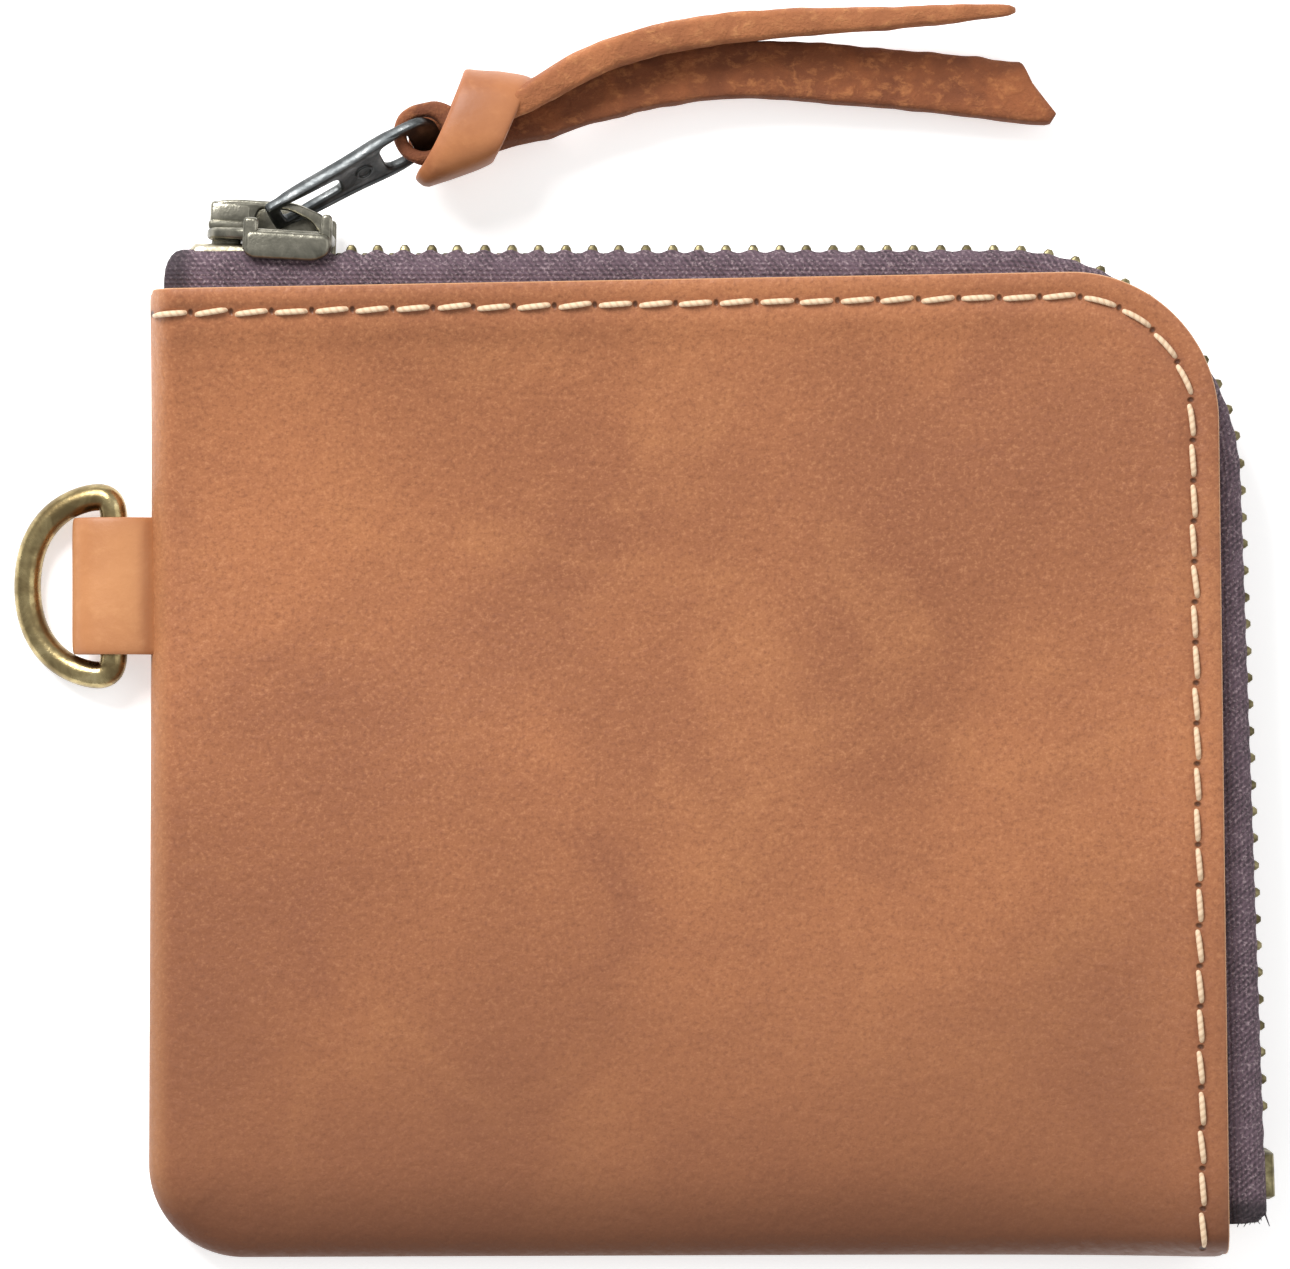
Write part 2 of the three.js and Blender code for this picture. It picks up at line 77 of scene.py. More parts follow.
def outward(points, faces):
    """Faces that point outwards: all turned round if the volume that they enclose is negative."""
    fans = np.array([(f[0], f[k], f[k + 1]) for f in faces for k in range(1, len(f) - 1)])
    a, b, c = points[fans.T]
    return [f[::-1] for f in faces] if np.einsum("ij,ij->", a, np.cross(b, c)) < 0 else faces


def mesh_piece(name, points, faces, marks=None, sharp=40):
    """A closed mesh from points in pouch millimetres and faces as lists. Marks are numbers at the
    points, and may be given once for a whole ring or row of them."""
    points = np.asarray(points, float)
    shape, points = points.shape[:-1], points.reshape(-1, 3)
    mesh = bpy.data.meshes.new(name)
    mesh.from_pydata((points / 1000 + ORIGIN).tolist(), [], outward(points, faces))
    for mark, values in (marks or {}).items():
        layer = mesh.attributes.new(mark, "FLOAT", "POINT")
        layer.data.foreach_set("value", np.broadcast_to(np.asarray(values, np.float32), shape).ravel())
    mesh.polygons.foreach_set("use_smooth", np.ones(len(mesh.polygons), bool))
    mesh.set_sharp_from_angle(angle=math.radians(sharp))
    piece = bpy.data.objects.new(name, mesh)
    bpy.context.scene.collection.objects.link(piece)
    return piece


def grid_faces(index):
    """The quads between neighbours of a grid of point numbers."""
    return np.stack([index[:-1, :-1], index[1:, :-1], index[1:, 1:], index[:-1, 1:]], -1).reshape(-1, 4)


def ring_faces(count, around, closed, start=0):
    """Quads of a skin through rings of points, with one flat face on each open end."""
    index = start + np.arange(count * around).reshape(count, around)
    rows = np.vstack([index, index[:1]]) if closed else index
    faces = grid_faces(np.hstack([rows, rows[:, :1]])).tolist()
    if not closed:
        faces += [index[0].tolist(), index[-1][::-1].tolist()]
    return faces


def loft(name, rings, closed=False, marks=None, sharp=40):
    """A skin through rings[i, j]; closed joins the last ring to the first."""
    return mesh_piece(name, rings, ring_faces(*rings.shape[:2], closed), marks, sharp)


def lofts(name, copies, marks=None, sharp=40):
    """Many separate skins in one mesh: copies[k, i, j] is point j of ring i of skin k."""
    number, count, around = copies.shape[:3]
    faces = [f for k in range(number) for f in ring_faces(count, around, False, k * count * around)]
    return mesh_piece(name, copies, faces, marks, sharp)


def superellipse(around, half_a, half_b, power):
    """Points of |a/half_a|^power + |b/half_b|^power = 1, evenly by angle, as [around, 2]."""
    angle = np.linspace(0, 2 * np.pi, around, endpoint=False)
    wave = np.stack([np.cos(angle), np.sin(angle)], -1)
    return np.sign(wave) * np.abs(wave) ** (2 / power) * [half_a, half_b]


def unit(vectors):
    """Vectors of length 1, each the given one divided by its length."""
    return vectors / np.linalg.norm(vectors, axis=-1, keepdims=True)


def turned(points, degrees, axis):
    """Points turned about an axis through 0 by the right-hand rule, by Rodrigues' formula."""
    angle, axis = math.radians(degrees), np.asarray(axis, float)
    along = (points @ axis)[..., None] * axis
    return (points * math.cos(angle) + np.cross(axis, points) * math.sin(angle)
            + along * (1 - math.cos(angle)))


def spline(points, count):
    """A smooth curve through points: Catmull-Rom by chord length, resampled evenly by length."""
    points = np.asarray(points, float)
    knots = lengths(points, 0.5)
    slopes = np.gradient(points, knots, axis=0)
    fine = np.linspace(0, knots[-1], 40 * len(points))
    k = np.clip(np.searchsorted(knots, fine, "right") - 1, 0, len(knots) - 2)
    width = (knots[k + 1] - knots[k])[:, None]
    t = (fine - knots[k])[:, None] / width
    curve = ((1 + 2 * t) * (1 - t) ** 2 * points[k] + t * (1 - t) ** 2 * width * slopes[k]
             + t * t * (3 - 2 * t) * points[k + 1] + t * t * (t - 1) * width * slopes[k + 1])
    return even(curve, count)


def lengths(path, power=1):
    """The way along a path to each of its points, each step's length raised to a power."""
    return np.concatenate([[0], np.cumsum(np.linalg.norm(np.diff(path, axis=0), axis=1) ** power)])


def even(curve, count):
    """A polyline resampled at equal distances."""
    length = lengths(curve)
    at = np.linspace(0, length[-1], count)
    return np.stack([np.interp(at, length, curve[:, k]) for k in range(curve.shape[1])], -1)


def ripple(points, scale, seed, octaves=3):
    """Smooth pseudo-random waves from -1 to 1: a sum of sines in seeded directions."""
    waves = np.random.default_rng(seed)
    total = 0
    for octave in range(octaves):
        finer, weaker = 1.9 ** octave, 0.62 ** octave
        for _ in range(4):
            way = unit(waves.normal(size=3)) * 2 * np.pi / scale * finer
            total = total + np.sin(points @ way + waves.uniform(0, 6.28)) * weaker
    return total / 4


# ---- shader maths

def operator(operation, swapped=False):
    """A method that adds one Math node for a value and another value or number."""
    def method(self, other):
        first, second = (other, self) if swapped else (self, other)
        return self.look.node("Math", {"operation": operation}, {0: first, 1: second})
    return method


class Value:
    """A socket of a material. Python's operators on it add Math nodes."""

    def __init__(self, look, socket):
        self.look, self.socket = look, socket

    __add__ = __radd__ = operator("ADD")
    __sub__, __rsub__ = operator("SUBTRACT"), operator("SUBTRACT", True)
    __mul__ = __rmul__ = operator("MULTIPLY")
    __truediv__, __pow__ = operator("DIVIDE"), operator("POWER")


class Look:
    """A material and its node tree."""

    def __init__(self, name):
        self.material = bpy.data.materials.new(name)
        self.material.use_nodes = True
        self.tree = self.material.node_tree
        self.shader = self.tree.nodes["Principled BSDF"]

    def node(self, kind, settings=None, inputs=None, output=0):
        """Any node: its settings are set first, then its sockets, by name or number, to values or links."""
        node = self.tree.nodes.new("ShaderNode" + kind)
        for key, value in (settings or {}).items():
            setattr(node, key, value)
        for key, value in (inputs or {}).items():
            self.feed(node.inputs[key], value)
        return Value(self, node.outputs[output])

    def feed(self, socket, value):
        """Links a value to a socket, or sets the socket to a number or colour."""
        if isinstance(value, Value):
            self.tree.links.new(value.socket, socket)
        else:
            socket.default_value = value

    def set(self, **values):
        """Sets the surface shader's sockets, written with _ for spaces."""
        for key, value in values.items():
            self.feed(self.shader.inputs[key.replace("_", " ")], value)
        return self

    def place(self):
        """The point's place in the frame, in metres."""
        return self.node("TexCoord", output="Object")

    def mark(self, name):
        """One of the piece's own attributes."""
        return self.node("Attribute", {"attribute_name": name}, output="Fac")

    def noise(self, scale, detail=3.0, rough=0.5, stretch=(1, 1, 1), shift=(0, 0, 0), warp=0.0):
        """Noise from 0 to 1, its scale in waves per metre."""
        where = self.node("Mapping", inputs={
            "Vector": self.place(), "Scale": stretch, "Location": shift})
        return self.node("TexNoise", inputs={
            "Vector": where, "Scale": scale, "Detail": detail, "Roughness": rough, "Distortion": warp})

    def ramp(self, value, low, high, to_low=0.0, to_high=1.0):
        """Eases from one level to another while the value goes from low to high."""
        return self.node("MapRange", {"interpolation_type": "SMOOTHSTEP", "clamp": True}, {
            "Value": value, "From Min": low, "From Max": high, "To Min": to_low, "To Max": to_high})

    def blend(self, colour, *coats):
        """Lays coats over a colour, each an amount from 0 to 1 and the coat's own screen colour."""
        colour = srgb(*colour)
        for amount, coat in coats:
            colour = self.node("Mix", {"data_type": "RGBA"}, {0: amount, 6: colour, 7: srgb(*coat)}, 2)
        return colour

    def math(self, operation, value):
        """A Math node that takes one value."""
        return self.node("Math", {"operation": operation}, {0: value})

    def raised(self, height, depth, strength):
        """A bump whose height of 1 stands depth metres up."""
        return self.node("Bump", inputs={"Height": height, "Distance": depth, "Strength": strength})


def srgb(red, green, blue):
    """A colour given as 0 to 255 screen values, as linear light."""
    level = np.array([red, green, blue]) / 255
    linear = np.where(level <= 0.04045, level / 12.92, ((level + 0.055) / 1.055) ** 2.4)
    return (*linear.tolist(), 1.0)


def finish_piece(piece, look, slot, body, *nodes):
    """Gives a piece its material, its body and the nodes that it stands for. The slot is not used."""
    piece.data.materials.append(look.material)
    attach(piece, body)
    if nodes:
        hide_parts(*nodes)


# ---- the pouch's own shape

class Run:
    """A line with one bend: straight, an arc to the right, straight again."""

    def __init__(self, start, heading, first, radius, turn):
        self.start, self.heading = np.array(start, float), math.radians(heading)
        self.first, self.radius, self.turn = first, radius, math.radians(turn)
        self.arc = radius * abs(self.turn)

    def place(self, along, out=0.0):
        """Points at a distance along the line and out to its left, and the headings there."""
        along = np.asarray(along, float)
        bend = np.clip((along - self.first) / self.arc, 0, 1)
        side = math.copysign(1, -self.turn)
        heading = self.heading + self.turn * bend
        ahead = np.stack([np.cos(heading), np.sin(heading)], -1)
        left = np.stack([-np.sin(heading), np.cos(heading)], -1)
        begin = np.array([math.cos(self.heading), math.sin(self.heading)])
        begin_left = np.array([-begin[1], begin[0]])
        straight = np.where(bend < 1, np.minimum(along, self.first), self.first)
        rest = np.maximum(along - self.first - self.arc, 0)
        point = (self.start + begin * straight[..., None]
                 + side * self.radius * (left - begin_left) + ahead * rest[..., None])
        return point + left * np.broadcast_to(out, along.shape)[..., None], heading


ZIP_LINE = Run((2, CHAIN_Y), 0, 78.2, 21.5, -88)
ZIP_LENGTH = ZIP_LINE.first + ZIP_LINE.arc + 69.8
STITCH_LINE = Run((0.45, 88.5), 1.04, 85.3, 11.7, -90.3)
STITCH_PITCH, STITCH_LENGTH, STITCH_COUNT, STITCH_START = 3.76, 3.3, 48, 2.15
STITCH_IN, CORD = 2.3, 0.255
TOP_CLIP, SCALLOPS_END, BOTTOM_CLIP = 5.4, 174, 176.3
HIDDEN_EDGE, TIP = 8.7, 1.7


def swell(x, y):
    """0 along the seams and 1 along the zip: u*v + (1 - v)*u^p + (1 - u)*v^p of the shares u and v."""
    u, v = np.clip(x / SWELL_WIDTH, 0, 1), np.clip(y / SWELL_HEIGHT, 0, 1)
    return u * v + (1 - v) * u ** SWELL_POWER + (1 - u) * v ** SWELL_POWER


def rounded_panel(s, t):
    """The panel's outline over a rectangle: near each corner, points on squares round the corner's
    centre go to circles, by the share max(a, b) / hypot(a, b); then the four corners are pulled to
    their places, linearly both ways."""
    s, t = s.copy(), t.copy()
    for corner, radius in enumerate(CORNER_RADII):
        right, upper = corner % 2, corner // 2
        a = 1 - (PANEL_WIDTH - s if right else s) / radius
        b = 1 - (PANEL_HEIGHT - t if upper else t) / radius
        inside = (a > 0) & (b > 0)
        share = np.where(inside, np.maximum(a, b) / np.maximum(np.hypot(a, b), 1e-9), 1)
        ds, dt = radius * (1 - a * share), radius * (1 - b * share)
        s = np.where(inside, PANEL_WIDTH - ds if right else ds, s)
        t = np.where(inside, PANEL_HEIGHT - dt if upper else dt, t)
    u, v = (s / PANEL_WIDTH)[..., None], (t / PANEL_HEIGHT)[..., None]
    low = PANEL_CORNERS[0] * (1 - u) + PANEL_CORNERS[1] * u
    high = PANEL_CORNERS[2] * (1 - u) + PANEL_CORNERS[3] * u
    return low * (1 - v) + high * v


def roll_drop(seam):
    """How far down the turned seam a point is, 1 at the edge: a quarter of an ellipse."""
    return 1 - np.sqrt(1 - (1 - np.clip(seam / ROLL, 0, 1)) ** 2)


def panel_height(xy, seam, raw, front):
    """The outer face of a panel. It is level but for broad soft waves, rolls to the parting line at
    the turned seams, dips under the stitches and is burnished round at the cut edge."""
    x, y = xy[..., 0], xy[..., 1]
    grown = swell(x, y)
    face, parting = ZIP_EDGE / 2 * (1 + grown), PARTING * (1 + grown)
    calm = np.clip(seam / 12, 0, 1) * np.clip((raw - 2.5) / 8, 0, 1)
    spot = np.stack([x, y, np.full_like(x, 3.0 if front else 60.0)], -1)
    wave = 0.34 * ripple(spot, 46, 5, 2) * calm
    stitch_dip = 0.26 * np.exp(-((raw - STITCH_IN) / 0.75) ** 2) * np.clip(seam / 1.5, 0, 1)
    puff = 0.1 * np.exp(-((raw - 0.95) / 0.6) ** 2) + 0.12 * np.exp(-((raw - 4.2) / 1.1) ** 2)
    burnish = 0.28 * (1 - np.sqrt(1 - (1 - np.clip(raw / 0.28, 0, 1)) ** 2))
    fall = 1.1 * (1 - np.clip(y / 13, 0, 1)) ** 2 + 0.5 * (1 - np.clip(x / 7, 0, 1)) ** 2
    if front:
        level = face + wave - fall * (1 - grown) - stitch_dip + puff * np.clip(seam / 3, 0, 1) - burnish
        return level + (parting + 0.25 - level) * roll_drop(seam)
    level = 1.9 * stitch_dip + burnish
    return level + (parting - 0.25 - level) * roll_drop(seam)


def panel_lines(span, step):
    """Grid lines across a panel: close at the rolled seam, even, and close again at the cut edge."""
    roll = ROLL * (1 - np.cos(np.linspace(0, np.pi / 2, 10)))
    cut = np.array([0.5, 0.28, 0.16, 0.07, 0.02, 0])
    middle = np.linspace(ROLL, span - cut[0], int((span - ROLL) / step))
    return np.concatenate([roll, middle[1:-1], span - cut])


def leather_panel(name, front, step, look, node):
    """An outer and an inner grid on the rounded outline, joined round the rim. The leather is as
    thick as its cut edge, and doubled where it is turned in along the seams."""
    s, t = np.meshgrid(panel_lines(PANEL_WIDTH, step), panel_lines(PANEL_HEIGHT, step), indexing="ij")
    xy = rounded_panel(s, t)
    seam, raw = np.minimum(s, t), np.minimum(PANEL_WIDTH - s, PANEL_HEIGHT - t)
    outer = panel_height(xy, seam, raw, front)
    parting = PARTING * (1 + swell(xy[..., 0], xy[..., 1]))
    fold = np.clip((HEM + 0.5 - seam), 0, 1)
    thick = LEATHER * (1 + 1.2 * fold * fold * (3 - 2 * fold))
    inner = (np.maximum(outer - thick, parting + 0.15) if front
             else np.minimum(outer + thick, parting - 0.15))
    count = s.size
    index = np.arange(count).reshape(s.shape)
    points = np.stack([np.dstack([xy, outer]), np.dstack([xy, inner])])
    rim = np.concatenate([index[:, 0], index[-1, 1:], index[-2::-1, -1], index[0, -2:0:-1]])
    rims = np.stack([rim, np.roll(rim, -1), np.roll(rim, -1) + count, rim + count], -1)
    faces = np.concatenate([grid_faces(index), grid_faces(index + count)[:, ::-1], rims[:, ::-1]]).tolist()
    samples = np.linspace(0, 183, 366)
    line, heading = STITCH_LINE.place(samples)
    near = nearest(line, xy.reshape(-1, 2)).reshape(s.shape)
    gap, cos, sin = xy - line[near], np.cos(heading[near]), np.sin(heading[near])
    marks = {"along": samples[near] + gap[..., 0] * cos + gap[..., 1] * sin,
             "across": gap[..., 1] * cos - gap[..., 0] * sin,
             "seam": seam, "raw": raw, "low": t, "inside": [[[0]], [[1]]]}
    piece = mesh_piece(name, points, faces, marks, 45)
    finish_piece(piece, look, "tan_leather", "pouch", node)


def nearest(line, points):
    """For each point, the number of the nearest of a line's samples, some thousands at a time."""
    parts = np.array_split(points, max(1, len(points) // 4000))
    return np.concatenate([np.argmin(((part[:, None] - line[None]) ** 2).sum(-1), 1) for part in parts])


def stitches(name, front, look, node):
    """One short tube for each stitch: it lies a little slanted on the leather and both ends go down
    into their holes, as the fourth power of the share of its half length."""
    centres = STITCH_START + STITCH_PITCH * np.arange(STITCH_COUNT) + rng.normal(0, 0.06, STITCH_COUNT)
    share = np.linspace(-1, 1, 11)
    along = centres[:, None] + share * STITCH_LENGTH / 2
    slant = share * rng.normal(0.13, 0.05, (STITCH_COUNT, 1)) + rng.normal(0, 0.05, (STITCH_COUNT, 1))
    way = 1 if front else -1
    xy = STITCH_LINE.place(along, slant * way)[0]
    seam = np.minimum(xy[..., 0], xy[..., 1])
    base = panel_height(xy, seam, np.full_like(seam, STITCH_IN), front)
    lift = (0.28 if front else 0.16) - 0.72 * np.abs(share) ** 5
    centre = np.dstack([xy, base + lift * way])
    ahead = unit(np.gradient(centre, axis=1))
    side = unit(np.cross(ahead, DEPTH))
    up = np.cross(side, ahead)
    thick = CORD * (1 - 0.35 * np.abs(share) ** 4)[None, :, None, None]
    section = superellipse(10, 1, 1, 2)
    rings = (centre[:, :, None] + thick * (side[:, :, None] * section[:, :1] * 1.08
             + up[:, :, None] * section[:, 1:] * 0.92))
    marks = {"along": along[..., None], "around": np.arange(10) / 10}
    finish_piece(lofts(name, rings, marks, 60), look, "cream_thread", "pouch", node)


# ---- the zip

TAPE_FACE = [(-HIDDEN_EDGE, 3.75), (-5, 4.05), (-2.6, 4.28), (-0.9, 4.26), (-0.1, 4.02), (0.5, 3.66),
             (0.66, 3.25)]
TAPE_BACK = [(0.4, 2.98), (-0.1, 3.05), (-0.45, 3.4), (-1.1, 3.68), (-3, 3.73), (-HIDDEN_EDGE, 3.2)]


def zip_place(along, out, height, front):
    """Points by the zip line: out from it and up or down from the middle between the panels."""
    xy = ZIP_LINE.place(along, out)[0]
    lower = ZIP_EDGE / 2 * (1 - swell(xy[..., 0], xy[..., 1]))
    z = MIDDLE + height - lower if front else MIDDLE - height
    return np.concatenate([xy, z[..., None]], -1)


def zip_tape(name, front, look, node):
    """A cloth strip swept along the zip line. Its section runs out from under the leather and curls
    in over the bead that the teeth grip. The first end is folded under and rounded: out shrinks by
    the square root of the distance; the last end is cut, and its edge wanders."""
    section = np.vstack([spline(TAPE_FACE, 14), spline(TAPE_BACK, 12)])
    tip = np.array([0, 0.08, 0.3, 0.65, 1.1, 1.7, 2.6])
    steps = np.concatenate([tip, np.linspace(3.6, ZIP_LENGTH - 1, 430), [ZIP_LENGTH - 0.4, ZIP_LENGTH]])
    along, out = np.meshgrid(steps, section[:, 0], indexing="ij")
    height = np.broadcast_to(section[:, 1], along.shape)
    tuck = np.sqrt(np.clip(1 - (1 - np.clip(along / TIP, 0, 1)) ** 2, 0, 1))
    out = (out + 3.4) * (0.35 + 0.65 * tuck) - 3.4
    middle = np.where(height > 0, 3.75, 0)
    height = middle + (height - middle) * (0.4 + 0.6 * tuck)
    phase = (along - FIRST_TOOTH) / TOOTH_PITCH * 2 * np.pi
    scallop = 0.5 * (1 - np.cos(phase)) * np.clip((along - FIRST_TOOTH) / 2, 0, 1) * (along < SCALLOPS_END)
    scallop = scallop * np.clip(1.2 - along / 90, 0.2, 1)
    out = out - 0.52 * scallop * np.clip((out + 0.7) / 1.1, 0, 1) ** 1.5
    close = np.clip((along - ZIP_LENGTH + 1.8) / 1.8, 0, 1)
    out = out - 0.9 * close ** 3 * np.clip((out + 1.4) / 2, 0, 1)
    ragged = 0.1 * np.sin(np.arange(along.shape[1]) * 2.1)
    shift = np.where(along > ZIP_LENGTH - 0.3, ragged, 0) - 0.1 - 0.4 * (along > ZIP_LENGTH - 0.8)
    height = height + 0.05 * ripple(np.dstack([along, out, height]), 3.5, 12, 2)
    points = zip_place(along + shift, out, height, front)
    piece = loft(name, points, marks={"along": along, "across": out}, sharp=60)
    finish_piece(piece, look, "zip_tape", "pouch", node)


def tape_fringe(look):
    """Loose yarns at the cut ends of the tapes: thin tapering tubes that lean and curl."""
    count, steps = 46, 6
    share = np.linspace(0, 1, steps)
    out = rng.uniform(-4.4, 0.5, count)
    size = rng.uniform(0.7, 1.3, count)
    front = rng.random(count) < 0.6
    height = np.where(out > -0.2, 3.4, 3.95) + rng.normal(0, 0.12, count)
    lean, curl = rng.normal(0, 0.35, count), rng.normal(0, 0.4, count)
    along = ZIP_LENGTH - 1.3 + size[:, None] * share
    spread = out[:, None] + lean[:, None] * share * size[:, None] + curl[:, None] * share ** 2 * 0.5
    level = height[:, None] + rng.normal(0, 0.3, count)[:, None] * share ** 2
    z = MIDDLE + np.where(front, 1, -1)[:, None] * level
    centre = np.dstack([ZIP_LINE.place(along, spread)[0], z])
    section = superellipse(5, 1, 1, 2)
    thick = (0.11 * (1 - 0.6 * share))[None, :, None, None]
    rings = centre[:, :, None] + thick * (section[:, :1] * [1.0, 0, 0] + section[:, 1:] * DEPTH)
    marks = {"along": along[..., None], "across": spread[..., None]}
    finish_piece(lofts("tape_fringe", rings, marks, 60), look, "zip_tape", "pouch")


def tooth_row(name, front, look, node):
    """Small cast teeth. Each is a stack of rounded sections from its foot over the bead to a head that
    passes the middle, narrower at its outer end; the rows are half a pitch apart."""
    levels = np.array([3.05, 3.0, 2.6, 1.9, 1.0, 0.2, -0.5, -0.85, -0.95])
    sizes = np.array([0.7, 0.86, 1.0, 1.0, 0.92, 0.86, 0.86, 0.76, 0.5])
    low, high = (-1.1, 1.16) if front else (-1.1, 0.55)
    first = FIRST_TOOTH + (0 if front else TOOTH_PITCH / 2)
    section = superellipse(10, 1, 1, 3.2)
    centres = first + TOOTH_PITCH * np.arange(TEETH)
    wobble = rng.normal(0, 0.03, (TEETH, 1, 1))
    narrow = 1 - 0.34 * np.clip(section[None, None, :, 1], 0, 1)
    along = centres[:, None, None] + wobble + 0.66 * sizes[:, None] * section[:, 0] * narrow
    out = (low + high) / 2 + (high - low) / 2 * (0.55 + 0.45 * sizes[:, None]) * section[:, 1]
    out, height = np.broadcast_arrays(out + 0 * along, levels[None, :, None])
    piece = lofts(name, zip_place(along, out, height, front), sharp=50)
    finish_piece(piece, look, "antique_brass", "pouch", node)


def top_stops(front, look, node):
    """A clip crimped over the bead of one tape: a long rounded bar, flatter at its ends."""
    share = np.linspace(-1, 1, 11)
    swollen = (1 - np.abs(share) ** 6) ** (1 / 6)
    section = superellipse(16, 1, 1, 3.5)
    along = TOP_CLIP + 3.3 * share[:, None] + 0 * section[:, 0]
    size = (0.35 + 0.65 * swollen)[:, None]
    points = zip_place(along, 0.35 + 0.92 * size * section[:, 0], 2.0 + 1.5 * size * section[:, 1], front)
    name = "front_top_clip" if front else "back_top_clip"
    finish_piece(loft(name, points, sharp=50), look, "gunmetal", "pouch", node)


def bottom_stop(look):
    """The clip that joins both tapes at the end: a squared block, a little smaller at its ends."""
    share = np.linspace(-1, 1, 17)
    size = (0.72 + 0.28 * (1 - np.abs(share) ** 12) ** (1 / 6))[:, None]
    section = superellipse(24, 1, 1, 7)
    along = BOTTOM_CLIP + 2.25 * share[:, None] + 0 * section[:, 0]
    points = zip_place(along, 0.1 + 1.5 * size * section[:, 0], 3.1 * size * section[:, 1], False)
    piece = loft("bottom_clip", points, sharp=50)
    finish_piece(piece, look, "antique_brass", "pouch", "bottom_stop")


# ---- metal parts

def join(parts):
    """Several shells in one, each turned so that its faces point outwards."""
    points, faces = [], []
    for shell, sides in parts:
        shell = shell.reshape(-1, 3)
        start = sum(map(len, points))
        faces += [[start + k for k in f] for f in outward(shell, sides)]
        points.append(shell)
    return np.concatenate(points), faces


def plate(outlines, thick, bevel):
    """A flat plate with rounded rims: filled outlines, the first with the others cut out of it, made
    a mesh in its own plane with the rims' quarter circles inside the outline."""
    curve = bpy.data.curves.new("plate", "CURVE")
    curve.dimensions, curve.fill_mode = "2D", "BOTH"
    curve.extrude, curve.bevel_depth = thick / 2 - bevel, bevel
    curve.bevel_resolution, curve.offset = 3, -bevel
    for outline in outlines:
        line = curve.splines.new("POLY")
        line.points.add(len(outline) - 1)
        flat = np.column_stack([outline, np.zeros(len(outline)), np.ones(len(outline))])
        line.points.foreach_set("co", flat.ravel())
        line.use_cyclic_u = True
    holder = bpy.data.objects.new("plate", curve)
    mesh = bpy.data.meshes.new_from_object(holder)
    points = np.empty(len(mesh.vertices) * 3)
    mesh.vertices.foreach_get("co", points)
    points = points.reshape(-1, 3)
    _, keep, same = np.unique(np.round(points, 3), axis=0, return_index=True, return_inverse=True)
    faces = [list(dict.fromkeys(same.ravel()[list(p.vertices)].tolist())) for p in mesh.polygons]
    bpy.data.objects.remove(holder)
    bpy.data.curves.remove(curve)
    bpy.data.meshes.remove(mesh)
    return points[keep], [f for f in faces if len(f) > 2]


def round_corners(points, radii, steps=7):
    """A polygon with its corners rounded by quadratic curves that start and end a radius away."""
    points = np.asarray(points, float)
    radii = np.broadcast_to(radii, len(points))
    t = np.linspace(0, 1, steps)[:, None]
    line = []
    for k, corner in enumerate(points):
        before, after = points[k - 1] - corner, points[(k + 1) % len(points)] - corner
        reach = min(radii[k], np.linalg.norm(before) * 0.49, np.linalg.norm(after) * 0.49)
        a, b = corner + unit(before) * reach, corner + unit(after) * reach
        line.append((1 - t) ** 2 * a + 2 * t * (1 - t) * corner + t * t * b)
    return np.concatenate(line)


def mirrored(half):
    """A closed outline from its half on the positive side of the second axis."""
    half = np.asarray(half, float)
    return np.concatenate([half, half[::-1] * [1, -1]])


def bar(low, high, power, rounding):
    """A block with soft edges between two corners: superellipse sections along its first axis, drawn
    in at both ends by quarter circles."""
    low, high = np.array(low, float), np.array(high, float)
    half = (high - low) / 2
    angle = np.linspace(0, np.pi / 2, 5)
    ends = half[0] - rounding * (1 - np.sin(angle))
    inset = rounding * (1 - np.cos(angle))
    places, insets = np.concatenate([-ends[::-1], ends]), np.concatenate([inset[::-1], inset])
    rings = (half[1:] - insets[:, None, None]) * superellipse(16, 1, 1, power)
    rings = np.concatenate([np.broadcast_to(places[:, None, None], (10, 16, 1)), rings], -1)
    return rings + (low + high) / 2, ring_faces(10, 16, False)


def on_slider(shape):
    """From the slider's own frame, x along the chain, y out from it and z to the front, to the pouch."""
    points, faces = shape
    return turned(points, SLIDER_TILT, DEPTH) + SLIDER, faces


def flat_on_slider(outline, low, high, bevel):
    """A plate across the slider: its outline is in x and z, and it is as thick as low to high."""
    points, faces = plate([outline], high - low, bevel)
    return np.column_stack([points[:, 0], points[:, 2] + (low + high) / 2, -points[:, 1]]), faces


def upright_on_slider(outlines, half, bevel, middle=0.0):
    """A plate that stands on the slider: outlines in x and y, half as thick as half, centred at z."""
    points, faces = plate(outlines, 2 * half, bevel)
    return points + [0, 0, middle], faces


